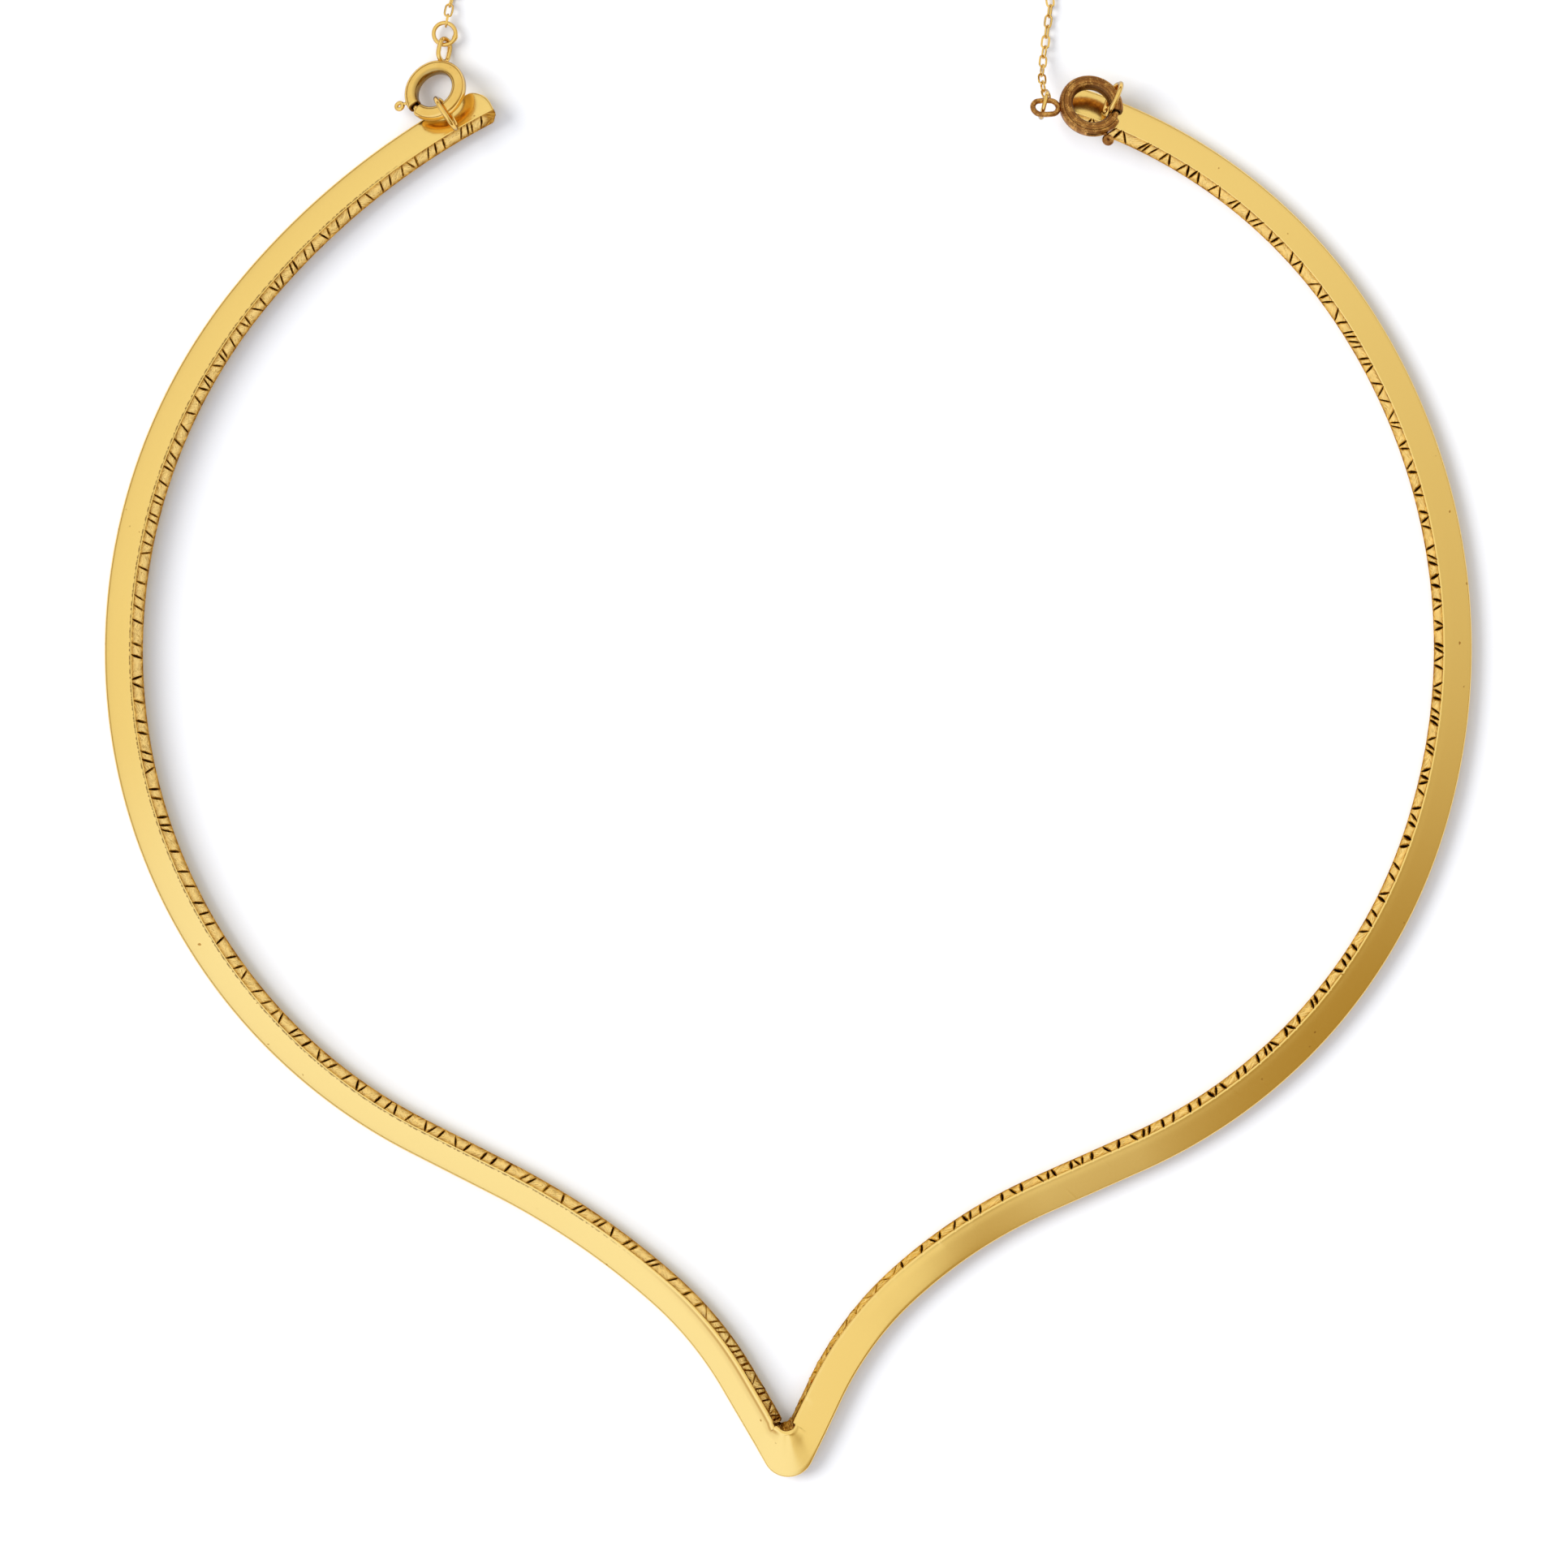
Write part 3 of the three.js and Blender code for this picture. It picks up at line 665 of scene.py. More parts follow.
# Where a run along one arc or straight of the rim leads.
def follow(row, run, x, y, heading):
    if not row["radius"]:
        return x + run * math.cos(heading), y + run * math.sin(heading), heading + run * 0
    turned = heading + run / row["radius"]
    return (x + row["radius"] * (np.sin(turned) - math.sin(heading)),
            y - row["radius"] * (np.cos(turned) - math.cos(heading)), turned)


# X, Y and heading at distances along a rim, for the side that lies towards +X.
def alongRim(side, distance):
    distance = np.asarray(distance, float)
    found = np.zeros((3, *distance.shape))
    start = [0.0, 0.0, 0.0]
    done = 0.0
    for row in side["rim"]:
        found = np.where(distance >= done, follow(row, distance - done, *start), found)
        start = [float(value) for value in follow(row, row["length"], *start)]
        done += row["length"]
    return found


# Where sections stand: rim point, way inwards, and how far in the inner corner is.
def stations(side, distance):
    x, y, heading = alongRim(side, distance)
    width = easeRows(side["wire"], distance, "width")
    innerX, innerY = x - np.sin(heading) * width, y + np.cos(heading) * width
    fanHeading = float(alongRim(side, collar["tipFan"])[2])
    turned = fanHeading * np.minimum(distance / collar["tipFan"], 1)
    fanX = collar["innerX"] * side["sign"] + collar["innerRadius"] * np.sin(turned)
    fanY = collar["innerY"] - collar["innerRadius"] * np.cos(turned)
    fanned = 1 - smooth((distance - collar["tipFan"] + collar["fanBlend"]) / collar["fanBlend"])
    innerX, innerY = innerX + (fanX - innerX) * fanned, innerY + (fanY - innerY) * fanned
    reach = np.hypot(innerX - x, innerY - y)
    return {"x": x, "y": y, "inX": (innerX - x) / reach, "inY": (innerY - y) / reach, "reach": reach}


# A point of the round that takes the place of a corner between a and b.
def bend(a, corner, b, radius, degrees):
    towards = [v / np.linalg.norm(v, axis=-1, keepdims=True) for v in (a - corner, b - corner)]
    radius = np.broadcast_to(np.asarray(radius, float), corner.shape[:-1])[..., None]
    turn = math.radians(degrees)
    return corner + radius * (towards[0] * (1 - math.sin(turn)) + towards[1] * (1 - math.cos(turn)))


# Uneven bumps between about -1 and 1, from waves that run every way.
def scattered(along, across, seed):
    rng = np.random.default_rng(seed)
    total = np.zeros(np.broadcast(along, across).shape)
    for _ in range(9):
        a, b, phase = rng.uniform(2, 11), rng.uniform(-6, 6), rng.uniform(0, 6.28)
        total = total + np.sin(a * along + b * across + phase)
    return total / 4


# A section is walked over the face, round the ridge, down the worked edge and back underneath.
faceSteps = (0.16, 0.36, 0.58, 0.8, 1)            # shares of the face short of the dashes
dashSteps = (0.24, 0.13, 0.04)                    # from the ridge: before, on and past the dashed line
# How strong the painted shade beside the ridge is on each of those rows.
dashShade = (0.75, 0.9, 0.3)
edgeSteps = (0.12, 0.27, 0.42, 0.58, 0.73, 0.88)  # shares of the worked edge
cornerTurns = (0, 23, 45, 67, 90)
innerTurns = (0, 45, 90)
underPoints = 5                                   # of a section, under the collar and up its outer wall
layerNames = ("along", "across", "cut", "lipHighlight", "seam", "paintedShadeAndBrown")  # what the finishes read at each point


# Of a section: how much nearer the rim the ridge is than the inner corner, the slope of the face, what
# the worn rest takes off its height, the height of the rim, and how far the ridge is above that.
def sectionSizes(side, at):
    width, roll = (easeRows(side["wire"], at, name) for name in ("width", "roll"))
    angle, thick = np.radians(roll), collar["thickness"]
    edge, slope = thick * np.sin(angle), np.tan(angle)
    cut = collar["restFlat"] * np.sin(angle) * np.cos(angle)
    return edge, slope, cut, thick * np.cos(angle) - cut, (width - edge) * slope


def squareTo(way):
    return np.stack([-way[:, 1], way[:, 0]], -1)


# The corners of each column's section, across and up, and the ways along and out of its two sides.
def sectionShape(side, at):
    edge, slope, cut, rimUp, rise = sectionSizes(side, at)
    reach = stations(side, at)["reach"]
    corner = {
        "rim": (0 * edge, rimUp), "ridge": (reach - edge, rimUp + rise), "inner": (reach, rise - cut),
        "bottomIn": (edge + cut / slope, 0 * edge), "bottomOut": (edge - cut * slope, 0 * edge),
    }
    shape = {name: np.stack(pair, -1) for name, pair in corner.items()}
    face = shape["ridge"] - shape["rim"]
    shape["faceLength"] = np.linalg.norm(face, axis=1)
    shape["faceWay"] = face / shape["faceLength"][:, None]
    shape["faceUp"] = squareTo(shape["faceWay"])
    shape["edgeWay"] = (shape["inner"] - shape["ridge"]) / collar["thickness"]
    shape["edgeOut"] = squareTo(shape["edgeWay"])
    shape["ridgeRadius"] = easeRows(side["wire"], at, "ridge")
    return shape


# How open a cut is across the edge: widest near the middle, and nothing at both ends.
def cutOpening(columns, v):
    over = (v + 0.1) / 1.12
    return 1 - np.abs(2 * over - 1) ** columns["taper"]


# One row of points, with what the finishes read there. On the worked edge v says how far down it the row
# is, and the cuts are sunk into it.
def sunkRow(columns, point, shift=0.0, v=None, inwards=None, depth=1.0, across=0.0, seam=0.0, paintedShadeAndBrown=0.0):
    at = columns["at"]
    swell = cutOpening(columns, v) if v is not None else 0 * at
    deep = columns["depth"] * swell * depth
    if inwards is not None:
        point = point + inwards * deep[:, None]
    return {
        "point": point,
        "along": at + columns["lean"] * shift * collar["thickness"] + columns["swell"] * swell,
        "across": 0 * at + across,
        "cut": np.clip(deep / collar["darkCut"], 0, 1),
        "lipHighlight": columns["lipHighlight"] * swell,
        "seam": 0 * at + seam,
        "paintedShadeAndBrown": 0 * at + paintedShadeAndBrown,
    }


def faceRows(side, columns, shape):
    at, length = columns["at"], shape["faceLength"]
    faceWay, faceUp, ridgeRadius = shape["faceWay"], shape["faceUp"], shape["ridgeRadius"]
    for turn in cornerTurns:
        point = bend(shape["bottomOut"], shape["rim"], shape["ridge"], collar["rimRadius"], turn)
        yield sunkRow(columns, point, across=length)
    dashed = smooth((at - collar["dashFrom"]) / collar["dashEase"])
    dashed *= smooth((rimLength(side) - collar["dashStop"] - at) / collar["dashStop"]) * side["dashes"]
    # Painted shade: on the side that has it, the face is painted brown beside the ridge, most on the rows
    # by the dashed line.
    shadeAndBrownShare = smooth((at - collar["shadeFrom"]) / collar["shadeEase"])
    shadeAndBrownShare *= (1 - smooth((at - collar["shadeTo"]) / collar["fade"])) * side["paintedShadeAndBrown"]
    crease = collar["creaseDepth"] * np.exp(-((at / collar["creaseLength"]) ** 2))
    faceShare = 1 - (ridgeRadius + dashSteps[0] + 0.12) / length
    for step in faceSteps:
        f = step * faceShare
        raised = collar["crown"] * 4 * f * (1 - f) - crease * f
        point = shape["rim"] + faceWay * length[:, None] * f[:, None] + faceUp * raised[:, None]
        fading = shadeAndBrownShare * 0.25 * (step == 1)
        yield sunkRow(columns, point, shift=-0.5 * f ** 3, across=length * (1 - f), paintedShadeAndBrown=fading)
    for gap, paintedShadeAndBrown, onDashes in zip(dashSteps, dashShade, (False, True, False)):
        pressed = crease + collar["dashDepth"] * dashed * onDashes
        point = shape["ridge"] - faceWay * (gap + ridgeRadius)[:, None] - faceUp * pressed[:, None]
        seam = dashed * onDashes
        yield sunkRow(columns, point, shift=-0.48, across=gap, seam=seam, paintedShadeAndBrown=shadeAndBrownShare * paintedShadeAndBrown)


def edgeRows(side, columns, shape):
    at, thick, edgeOut = columns["at"], collar["thickness"], shape["edgeOut"]
    for turn in cornerTurns:
        point = bend(shape["rim"], shape["ridge"], shape["inner"], shape["ridgeRadius"], turn)
        mixed = turn / 90
        inwards = -(edgeOut * (0.35 + 0.65 * mixed) + shape["faceUp"] * 0.65 * (1 - mixed))
        depth = 0.2 + 0.8 * mixed
        yield sunkRow(columns, point, shift=-0.5, v=0.02 * mixed, inwards=inwards, depth=depth)
    crumple = columns["crumple"]
    bumpy = collar["bumps"] + crumple * collar["crumple"] * smooth((at - 0.8) / 2)
    browned = side["paintedShadeAndBrown"] * np.maximum(crumple, collar["browned"]) * smooth((at - 0.6) / 1.2)
    for v in edgeSteps:
        bumps = bumpy * scattered(at * side["sign"], v * 2, collar["bumpSeed"])
        point = shape["ridge"] + shape["edgeWay"] * thick * v + edgeOut * bumps[:, None]
        down = -v * thick
        yield sunkRow(columns, point, shift=v - 0.5, v=v, inwards=-edgeOut, across=down, paintedShadeAndBrown=browned)
    for turn in innerTurns:
        inset = collar["innerEdgeRadius"]
        point = bend(shape["ridge"], shape["inner"], shape["bottomIn"], inset, turn)
        yield sunkRow(columns, point, shift=0.5, v=1.0, inwards=-edgeOut, depth=0.8, across=-thick)


def underRows(columns, shape):
    thick, length = collar["thickness"], shape["faceLength"]
    for f in (0.33, 0.67):
        point = shape["inner"] + (shape["bottomIn"] - shape["inner"]) * f
        yield sunkRow(columns, point, shift=0.5 * (1 - f), across=-thick - f)
    yield sunkRow(columns, shape["bottomIn"], across=-thick - 1)
    yield sunkRow(columns, shape["bottomOut"], across=length + thick)
    yield sunkRow(columns, (shape["bottomOut"] + shape["rim"]) / 2, across=length + thick / 2)


# Every column's section, point by point: where each lies, and what the finishes read there.
def sectionGrid(side, columns):
    shape = sectionShape(side, columns["at"])
    rows = [*faceRows(side, columns, shape), *edgeRows(side, columns, shape), *underRows(columns, shape)]
    return {name: np.stack([row[name] for row in rows], 1) for name in ("point", *layerNames)}


# How far along the rim the end of the collar lies, from its rim inwards: a round, then a bevel.
def endCurve(side, across, width):
    end, r, b = rimLength(side), collar["endRound"], collar["endBevel"]
    outer = np.sqrt(np.maximum(r * r - np.maximum(r - across, 0) ** 2, 0))
    return end - r + outer - np.maximum(across - (width - b), 0)


# The five columns of a nick: where each lies, which way it is drawn by half the nick's width, and whether
# it is the bottom or the lip, where a paler highlight is painted.
nickColumns = [
    {"offset": -0.08, "drawn": -1, "bottom": 0, "lipHighlight": 1.0},
    {"offset": -0.03, "drawn": -1, "bottom": 0, "lipHighlight": 0.0},
    {"offset": 0, "drawn": 0, "bottom": 1, "lipHighlight": 0.0},
    {"offset": 0.03, "drawn": 1, "bottom": 0, "lipHighlight": 0.0},
    {"offset": 0.08, "drawn": 1, "bottom": 0, "lipHighlight": 1.0},
]
columnNames = ("at", "swell", "depth", "lean", "taper", "lipHighlight")


def plainColumn(at):
    return (at, 0.0, 0.0, 0.0, 3.0, 0.0)


# Columns of the fine grid on one side: those of the nicks, with plain ones between them.
def makeColumns(side):
    rng = np.random.default_rng(side["seed"])
    columns = [plainColumn(0.0)]
    at, lastLean, sign, waiting = side["nicks"][0]["from"], 0.0, 1, 3
    while True:
        row = [r for r in side["nicks"] if r["from"] <= at][-1]
        sign = -sign if rng.random() < side["zigzag"] else 1
        lean = side["leaning"] * sign * math.tan(math.radians(row["slant"])) * rng.uniform(0.3, 1)
        half = row["width"] / 2 * rng.uniform(0.7, 1.3)
        depth = row["depth"] * rng.uniform(0.7, 1.3)
        leaned = abs(lean - lastLean) * 0.5 * collar["thickness"]
        clear = max(collar["leanGap"] + leaned, collar["nickGap"] + row["width"])
        at += max(row["pitch"] * rng.uniform(0.6, 1.4), clear)
        waiting -= 1
        if waiting == 0:
            at += row["rest"] * rng.uniform(0.7, 1.3)
            waiting = rng.integers(*side["together"])
        if at > rimLength(side) - collar["plainEnd"]:
            break
        for column in nickColumns:
            swell, deep = half * column["drawn"], depth * column["bottom"]
            columns.append((at + column["offset"], swell, deep, lean, row["taper"], column["lipHighlight"]))
        lastLean = lean
    columns.append(plainColumn(rimLength(side)))
    filled = [columns[0]]
    for a, b in zip(columns, columns[1:]):
        gap = b[0] + b[1] - a[0] - a[1] if a[2] == b[2] == 0 else 0
        extra = max(0, math.ceil(gap / collar["spacing"]) - 1)
        for k in range(1, extra + 1):
            filled.append(tuple(p + (q - p) * k / (extra + 1) for p, q in zip(a, b)))
        filled.append(b)
    table = {name: np.array([row[k] for row in filled]) for k, name in enumerate(columnNames)}
    table["crumple"] = 1 - smooth((table["at"] - collar["crumpleTo"]) / collar["fade"])
    return table


endTurns = (25, 50, 70, 90)  # of the round between the collar's sides and its end


def sideGrid(side):
    columns = makeColumns(side)
    end, zone, rim = rimLength(side), collar["endZone"], collar["endRim"]
    turns = np.radians(endTurns)
    for name, value in columns.items():
        columns[name] = np.concatenate([value, np.repeat(value[-1:], len(turns))])
    grid = sectionGrid(side, columns)
    point, along = grid["point"], grid["along"]
    width = easeRows(side["wire"], columns["at"], "width")[:, None]
    curve = endCurve(side, np.clip(point[..., 0], 0, width), width)
    near = end - zone
    along = np.where(along > near, near + (along - near) * (curve - rim - near) / zone, along)
    middle = point.mean(1, keepdims=True)
    roll = np.radians(easeRows(side["wire"], columns["at"], "roll"))[-1]
    faceWay = np.array([math.cos(roll), math.sin(roll)])
    faceUp = np.array([-math.sin(roll), math.cos(roll)])
    for k, turn in enumerate(turns):
        i = len(point) - len(turns) + k
        away = point[i] - middle[i]
        onFace, upFace = away @ faceWay, away @ faceUp
        drawnIn = rim * (1 - math.cos(turn))
        onFace *= 1 - drawnIn / np.abs(onFace).max()
        upFace *= 1 - drawnIn / np.abs(upFace).max()
        point[i] = middle[i] + onFace[:, None] * faceWay + upFace[:, None] * faceUp
        along[i] = curve[i] - rim * (1 - math.sin(turn))
    where = stations(side, along)
    across, up = point[..., 0], point[..., 1]
    grid["xyz"] = np.stack([
        side["sign"] * (where["x"] + where["inX"] * across), where["y"] + where["inY"] * across, up,
    ], -1)
    grid["along"] = along * side["sign"]
    return grid


# A cap over the last section: its upper and lower outlines, both walked from the rim inwards.
def capFaces(point, start, flip):
    count = len(point)
    top = list(range(count - underPoints))
    low = [0] + list(range(count - 1, count - underPoints - 2, -1))
    faces = []
    i = j = 0
    while i + 1 < len(top) or j + 1 < len(low):
        nextTop = point[top[i + 1], 0] if i + 1 < len(top) else math.inf
        nextLow = point[low[j + 1], 0] if j + 1 < len(low) else math.inf
        if nextTop <= nextLow:
            faces.append((top[i], low[j], top[i + 1]))
            i += 1
        else:
            faces.append((top[i], low[j], low[j + 1]))
            j += 1
    faces = [face for face in faces if len(set(face)) == 3]
    return [tuple(start + v for v in (face[::-1] if flip else face)) for face in faces]


def makeCollar():
    grids = [sideGrid(left), sideGrid(right)]
    whole = {}
    for name in ("xyz", "point", *layerNames):
        whole[name] = np.concatenate([grids[0][name][::-1], grids[1][name][1:]])
    rows, count = whole["along"].shape
    faces = [face[::-1] for face in gridFaces(rows, count)]
    gridCount = len(faces)
    faces += capFaces(whole["point"][0], 0, True)
    faces += capFaces(whole["point"][-1], (rows - 1) * count, False)
    piece = makePiece("collar_fine", whole["xyz"].reshape(-1, 3), faces, ["satin", "worked"])
    mesh = piece.data
    for name in layerNames:
        addLayer(mesh, name, whole[name])
    ridgeEnd = len(cornerTurns) + len(faceSteps) + len(dashSteps) + len(cornerTurns) - 1
    innerStart = ridgeEnd + len(edgeSteps) + 1
    kinds = np.zeros(len(faces), np.int32)
    band = np.arange(gridCount) % count
    kinds[:gridCount] = (band >= ridgeEnd - 1) & (band < innerStart + 1)
    mesh.polygons.foreach_set("material_index", kinds)
    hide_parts("collar")
    print("collar:", rows, "columns of", count, "points")


makeCollar()


# The loops that stand on the ridge, each in its fillet of solder.

standing = {
    "left": {
        "side": left, "x": -31.09, "y": 124.18, "azimuth": 123.5,
        "radius": 1.62, "rise": 0.58, "lean": 5, "stub": True,
    },
    "right": {
        "side": right, "x": 29.56, "y": 125.5, "azimuth": 65,
        "radius": 1.56, "rise": 0.43, "lean": -8, "stub": False,
    },
}
standingWire = {"radius": 0.22, "solder": 0.8, "fromEnd": 4, "steps": 48}
stub = [  # a bit of wire left in the solder, from the foot of the loop
    {"x": 0.25, "y": 0.1, "z": 0.15, "radius": 0.16},
    {"x": 0.55, "y": 0.34, "z": 0.2, "radius": 0.13},
    {"x": 0.85, "y": 0.6, "z": 0.16, "radius": 0.09},
    {"x": 1.02, "y": 0.78, "z": 0.08, "radius": 0.04},
]


def makeStandingLoops():
    parts = []
    for loop in standing.values():
        side = loop["side"]
        *_, rimUp, rise = sectionSizes(side, rimLength(side) - standingWire["fromEnd"])
        ridgeUp = rimUp + rise
        turn = wholeTurn(standingWire["steps"])
        azimuth = math.radians(loop["azimuth"])
        middle = np.array([loop["x"], loop["y"], ridgeUp + loop["rise"]])
        along = np.array([math.cos(azimuth), math.sin(azimuth), 0])
        lean = math.radians(loop["lean"])
        rising = np.array([-along[1] * math.sin(lean), along[0] * math.sin(lean), math.cos(lean)])
        ring = loop["radius"] * circle(turn, along, rising)
        soldered = smooth((-np.sin(turn) - 0.2) / 0.45)
        wires = standingWire["radius"] * (1 + standingWire["solder"] * soldered)
        parts.append(wireMesh(middle + ring, wires, 14, closed=True, up=np.cross(along, rising)))
        if loop["stub"]:
            line = [(loop["x"] + row["x"], loop["y"] + row["y"], ridgeUp + row["z"]) for row in stub]
            parts.append(wireMesh(line, [row["radius"] for row in stub], 12))
    piece = makePiece("standing_loops", *joinMeshes(parts), ["polished"])
    print("standing loops are made")


makeStandingLoops()


# The two bolt rings.

boltRing = {
    "radius": 2.34,
    "width": 0.61, "height": 0.582, "squareness": 3.0,  # half sizes of the tube; 2 would make it round
    "bore": 0.4, "bolt": 0.29, "stem": 0.15,
    "travel": 28,        # degrees round the ring, as are the next five
    "entry": 6, "pocket": 4, "tail": 14, "slotSpare": 6, "rodEnd": 7,
    "slotHeight": 0.28,
    "mouth": 0.93,       # how much is left of the tube's outside at its two mouths
    # How much painted shade the ring's inner wall and its two mouths get, and how much darker a seam gets
    # for its depth.
    "paintedShadeInside": 0.75, "paintedShadeMouth": 0.8, "dullSeam": 8,
    "columns": 96, "step": 2.0,
}
clasps = {
    "left": {
        "joint": "left_bolt_draw", "body": "left_bolt", "metal": "polished", "slot": "polished_gold",
        "gapAt": 224, "gap": 14, "leverAt": 202, "grooves": [],
        "thumb": {"radius": 0.31, "wire": 0.2, "reach": 3.65},
        "eye": {"at": 79, "reach": 4.07, "width": 1.5, "length": 2.15, "wire": 0.215, "roll": 77},
    },
    "right": {
        "joint": "right_bolt_draw", "body": "right_bolt", "metal": "bronze", "slot": "aged_bronze",
        "gapAt": 338.5, "gap": 19, "leverAt": 295.5,
        "thumb": {"radius": 0.29, "wire": 0.26, "reach": 3.62},
        "grooves": [  # seams, by degrees round the tube
            {"at": 38, "depth": 0.05, "spread": 4}, {"at": 64, "depth": 0.09, "spread": 3.5},
            {"at": 80, "depth": 0.05, "spread": 3}, {"at": 112, "depth": 0.07, "spread": 4},
            {"at": 140, "depth": 0.05, "spread": 4},
        ],
        "eye": {"at": 183, "reach": 4.25, "width": 1.5, "length": 2.35, "wire": 0.25, "roll": 8},
    },
}


# The ring's own axes in the frame: towards its low side, across, and square to its plane.
def claspPlace(clasp):
    joint = joints[clasp["joint"]]
    normal = np.array(joint["axis"], float)
    tilt, low = math.acos(normal[2]), math.atan2(normal[1], normal[0])
    first = np.array([math.cos(low) * math.cos(tilt), math.sin(low) * math.cos(tilt), -math.sin(tilt)])
    second = np.array([-math.sin(low), math.cos(low), 0])
    return np.array([first, second, normal]), np.array(joint["pos_m"]) / mm - vPoint, low, tilt


# The angle in the ring's own plane that shows from above as an azimuth.
def inPlane(azimuth, low, tilt):
    turn = math.radians(azimuth) - low
    return math.degrees(math.atan2(math.sin(turn), math.cos(turn) / math.cos(tilt)))


def nearGroove(groove, turn):
    return np.exp(-(((np.degrees(turn) - groove["at"]) / groove["spread"]) ** 2))


def tubeSection(clasp, turn):
    c, s = np.cos(turn), np.sin(turn)
    power = boltRing["squareness"]
    size = (np.abs(c) ** power + np.abs(s) ** power) ** (-1 / power)
    for groove in clasp["grooves"]:
        size = size - groove["depth"] * nearGroove(groove, turn)
    return np.stack([boltRing["width"] * c * size, boltRing["height"] * s * size], 1)


# Where the hollow tube changes, in degrees from the end of the gap round to its start.
def tubeMarks(clasp, gapAt, lever, head, tail):
    half, spare = clasp["gap"] / 2, boltRing["slotSpare"]
    return {
        "first": gapAt + half,
        "last": gapAt - half + 360,
        "pocketEnd": head + boltRing["pocket"],
        "boreStart": tail - boltRing["travel"] - boltRing["pocket"] + 360,
        "slotStart": lever - boltRing["travel"] - spare + 360,
        "slotEnd": lever + spare + 360,
    }


def tubeAngles(marks):
    stops = sorted(marks.values())
    angles = [stops[0]]
    for a, b in zip(stops, stops[1:]):
        angles += np.linspace(a, b, max(2, int((b - a) / boltRing["step"]) + 1))[1:].tolist()
    return np.array(angles)


def tubePoints(clasp, turn, angles):
    away = circle(np.radians(angles))
    bore = boltRing["bore"] * np.stack([np.cos(turn), np.sin(turn)], 1)
    walls = []
    for outline in (tubeSection(clasp, turn), bore):
        wall = (boltRing["radius"] + outline[:, 0])[None, :, None] * away[:, None]
        wall[..., 2] += outline[:, 1][None]
        walls.append(wall)
    for row in (0, -1):
        middle = boltRing["radius"] * away[row]
        walls[0][row] = middle + (walls[0][row] - middle) * boltRing["mouth"]
    return np.concatenate([wall.reshape(-1, 3) for wall in walls])


# Painted shade: the inner wall of the ring, its two mouths and all of the bore are painted dark, as the
# shade in them. The seams are darker by their depth.
def tubeShadeAndMarks(clasp, turn, rows):
    shadeAndMarkShare = np.clip(-np.cos(turn) * 1.6 - 0.5, 0, 1) * boltRing["paintedShadeInside"]
    for groove in clasp["grooves"]:
        shadeAndMarkShare = np.maximum(shadeAndMarkShare, boltRing["dullSeam"] * groove["depth"] * nearGroove(groove, turn))
    outside = np.tile(shadeAndMarkShare, (rows, 1))
    outside[[0, -1]] = boltRing["paintedShadeMouth"]
    return np.concatenate([outside.reshape(-1), np.ones(outside.size)])


# The ring's tube, solid but for the bolt's bore at both mouths and the slot in which the lever runs.
def ringTube(clasp, gapAt, lever, head, tail):
    count = boltRing["columns"]
    turn = wholeTurn(count)
    marks = tubeMarks(clasp, gapAt, lever, head, tail)
    angles = tubeAngles(marks)
    rows = len(angles)
    near = 1e-6
    spans = list(zip(angles, angles[1:]))
    bored = [b <= marks["pocketEnd"] + near or a >= marks["boreStart"] - near for a, b in spans]
    slotted = [a >= marks["slotStart"] - near and b <= marks["slotEnd"] + near for a, b in spans]
    side, up = tubeSection(clasp, turn).T
    reach = np.maximum(np.abs(up), np.abs(np.roll(up, -1)))
    slotColumns = [j for j in range(count) if side[j] > 0 and reach[j] < boltRing["slotHeight"]]
    slotLow = min(j for j in slotColumns if j > count / 2)
    slotHigh = max(j for j in slotColumns if j < count / 2) + 1
    boreFirst = rows * count
    faces = []

    def addWall(a, b, turnedOver):  # between the outside and the bore
        wall = (a, b, boreFirst + b, boreFirst + a)
        faces.append(wall[::-1] if turnedOver else wall)

    for i in range(rows - 1):
        for j in range(count):
            a, b = i * count + j, i * count + (j + 1) % count
            if slotted[i] and j in slotColumns:
                continue
            faces.append((a, a + count, b + count, b))
            if bored[i]:
                faces.append((boreFirst + a, boreFirst + b, boreFirst + b + count, boreFirst + a + count))
        if slotted[i]:
            addWall(i * count + slotLow, (i + 1) * count + slotLow, True)
            addWall(i * count + slotHigh, (i + 1) * count + slotHigh, False)
        before = slotted[i - 1] if i else False
        if before != slotted[i]:
            for j in slotColumns:
                addWall(i * count + j, i * count + (j + 1) % count, before)
    for row in (0, rows - 1):
        for j in range(count):
            addWall(row * count + j, row * count + (j + 1) % count, row > 0)
    for i in range(1, rows - 1):
        if bored[i - 1] != bored[i]:
            disc = tuple(boreFirst + i * count + j for j in range(count))
            faces.append(disc if bored[i] else disc[::-1])
    return tubePoints(clasp, turn, angles), faces, tubeShadeAndMarks(clasp, turn, rows)


def turned(mesh, degrees):
    c, s = math.cos(math.radians(degrees)), math.sin(math.radians(degrees))
    return placed(mesh, [[c, s, 0], [-s, c, 0], [0, 0, 1]], (0, 0, 0))


def eyeMesh(clasp, low, tilt):
    eye = clasp["eye"]
    line = ovalLine(eye["length"] / 2, eye["width"] / 2)
    points, faces = wireMesh(line, eye["wire"], 14, closed=True)
    roll = math.radians(eye["roll"])
    c, s = math.cos(roll), math.sin(roll)
    points = points @ np.array([[1, 0, 0], [0, c, s], [0, -s, c]]) + (eye["reach"], 0, 0)
    return turned((points, faces), inPlane(eye["at"], low, tilt))


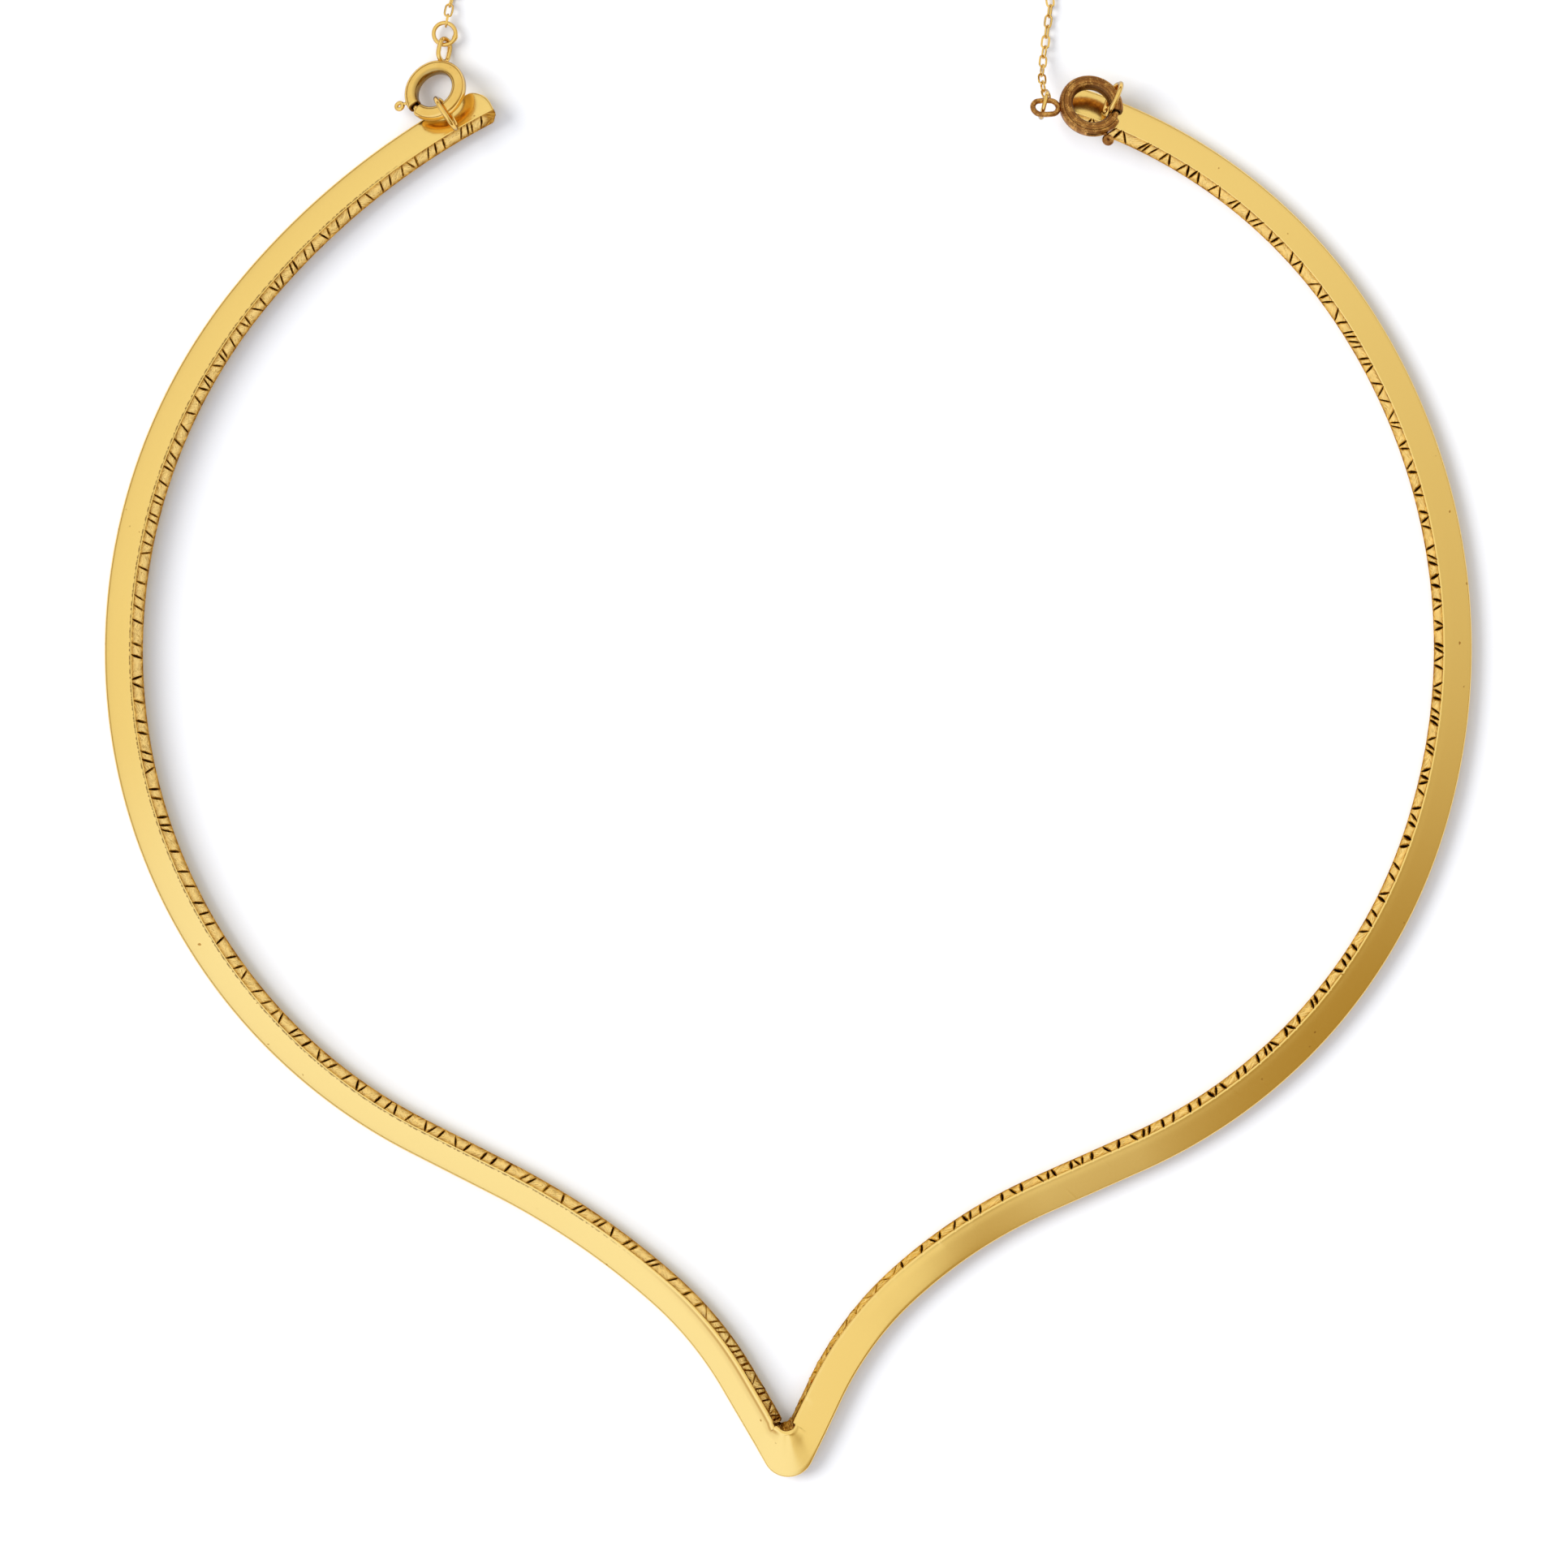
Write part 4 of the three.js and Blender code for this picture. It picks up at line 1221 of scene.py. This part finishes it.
def boltMesh(thumb, lever, head, tail):
    angles = np.radians(np.linspace(tail + boltRing["rodEnd"], head - boltRing["rodEnd"], 24))
    rod = wireMesh(boltRing["radius"] * circle(angles), boltRing["bolt"], 16)
    stemEnd = thumb["reach"] - thumb["radius"]
    stem = wireMesh(np.linspace((boltRing["radius"], 0, 0), (stemEnd, 0, 0), 6), boltRing["stem"], 12)
    loopLine = thumb["radius"] * circle(wholeTurn(32)) + (thumb["reach"], 0, 0)
    loop = wireMesh(loopLine, thumb["wire"], 12, closed=True)
    return joinMeshes([rod, turned(joinMeshes([stem, loop]), lever)])


def makeClasp(name, clasp):
    basis, at, low, tilt = claspPlace(clasp)
    gapAt, lever = inPlane(clasp["gapAt"], low, tilt), inPlane(clasp["leverAt"], low, tilt)
    head = gapAt + clasp["gap"] / 2 + boltRing["entry"]
    tail = lever - boltRing["tail"]
    *tube, paintedShadeAndMarks = ringTube(clasp, gapAt, lever, head, tail)
    eye = eyeMesh(clasp, low, tilt)
    ring = placed(joinMeshes([tube, eye]), basis, at)
    paintedShadeAndMarks = np.concatenate([paintedShadeAndMarks, np.zeros(len(eye[0]))])
    piece = makePiece(name + "_clasp_ring_fine", *ring, [clasp["metal"]], paintedShadeAndMarks=paintedShadeAndMarks)
    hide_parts(name + "_clasp_ring")
    bolt = placed(boltMesh(clasp["thumb"], lever, head, tail), basis, at)
    piece = makePiece(name + "_clasp_bolt_fine", *bolt, [clasp["metal"]], clasp["body"])
    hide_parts(name + "_clasp_bolt")


for name, clasp in clasps.items():
    makeClasp(name, clasp)
print("clasps are made")


# Jump rings.

jumps = {
    "left": {
        "at": (-31.33, 131.7, 0.8), "radius": 1.0,
        "first": (1, 0, 0), "second": (0, 1, 0), "solder": -20,
    },
    "right": {
        "at": (23.26, 124.93, 3.92), "radius": 1.17,
        "first": (0.242, 0.97, 0), "second": (0, 0, 1), "solder": 200,
    },
}
jumpWire = {"radius": 0.19, "solder": 0.4, "spread": 13, "steps": 48}


def makeJump(name, jump):
    turn = wholeTurn(jumpWire["steps"])
    first, second = np.array(jump["first"]), np.array(jump["second"])
    fromJoint = (np.degrees(turn) - jump["solder"] + 180) % 360 - 180
    soldered = np.exp(-((fromJoint / jumpWire["spread"]) ** 2))
    wires = jumpWire["radius"] * (1 + jumpWire["solder"] * soldered)
    line = np.array(jump["at"]) + jump["radius"] * circle(turn, first, second)
    mesh = wireMesh(line, wires, 14, closed=True, up=np.cross(first, second))
    piece = makePiece(name + "_jump_ring_fine", *mesh, ["polished"])
    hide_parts(name + "_jump_ring")


for name, jump in jumps.items():
    makeJump(name, jump)
print("jump rings are made")


# The safety chain.

chain = {
    "pitch": 0.96, "wire": 0.097, "width": 0.86,
    "lean": -20, "sway": 9, "swayBeat": 1.7, "settle": 6,  # how links roll, and over how many it comes in
    "level": 0.49,
    "archX": -3.4, "archY": 134.8, "archHalfWidth": 27.3, "archRise": 13.488,
}


# From the left jump ring round the arch to the right one, where it climbs to the eye.
def chainPoints():
    level = chain["level"]
    points = [(-31.12, 132.9, level + 0.31), (-30.95, 133.85, level + 0.3)]
    for degrees in range(180, -1, -20):
        a = math.radians(degrees)
        points.append((chain["archX"] + chain["archHalfWidth"] * math.cos(a),
                       chain["archY"] + chain["archRise"] * math.sin(a), level))
    points += [(23.7, 132.6, level), (23.4, 130.3, level + 0.2), (23.15, 128.2, level + 1),
               (23.19, 126.72, level + 2.02), (23.43, 125.96, level + 2.59)]
    return np.array(points)


# A smooth line through the points that keeps its bends even where they lie close together.
def evenCurve(points, perSpan=120):
    points = np.vstack([2 * points[0] - points[1], points, 2 * points[-1] - points[-2]])
    line = []
    for a, b, c, d in zip(points, points[1:], points[2:], points[3:]):
        ab, bc, cd = (math.sqrt(np.linalg.norm(q - p)) for p, q in ((a, b), (b, c), (c, d)))
        start = ((b - a) / ab - (c - a) / (ab + bc) + (c - b) / bc) * bc
        finish = ((c - b) / bc - (d - b) / (bc + cd) + (d - c) / cd) * bc
        t = np.linspace(0, 1, perSpan, endpoint=False)[:, None]
        line.append(b + start * t + (3 * (c - b) - 2 * start - finish) * t ** 2
                    + (2 * (b - c) + start + finish) * t ** 3)
    return np.vstack([*line, points[-2][None]])


def makeChain():
    line = evenCurve(chainPoints())
    passed = np.concatenate([[0], np.cumsum(np.linalg.norm(np.diff(line, axis=0), axis=1))])
    gaps = 2 * round((passed[-1] / chain["pitch"] - 1) / 2) + 1
    pitch = passed[-1] / gaps
    tangents = np.gradient(line, passed, axis=0)
    shape = ovalLine(pitch / 2 + chain["wire"], (chain["width"] - 2 * chain["wire"]) / 2, 28)
    links = []
    for k in range(gaps + 1):
        along = pitch * k
        at = np.array([np.interp(along, passed, line[:, c]) for c in range(3)])
        tangent = np.array([np.interp(along, passed, tangents[:, c]) for c in range(3)])
        tangent /= np.linalg.norm(tangent)
        side = np.cross((0, 0, 1), tangent)
        side /= np.linalg.norm(side)
        up = np.cross(tangent, side)
        fromLeft = min(1, k / chain["settle"])
        fromEnds = min(fromLeft, (gaps - k) / chain["settle"])
        sway = fromEnds * chain["sway"] * math.sin(chain["swayBeat"] * k)
        turn = math.radians((0 if k % 2 else 90) + fromLeft * chain["lean"] + sway)
        across = side * math.cos(turn) + up * math.sin(turn)
        mesh = wireMesh(shape, chain["wire"], 10, closed=True)
        links.append(placed(mesh, [tangent, across, np.cross(tangent, across)], at))
    piece = makePiece("safety_chain_fine", *joinMeshes(links), ["polished"])
    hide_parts("safety_chain")
    print("chain:", gaps + 1, "links")


makeChain()
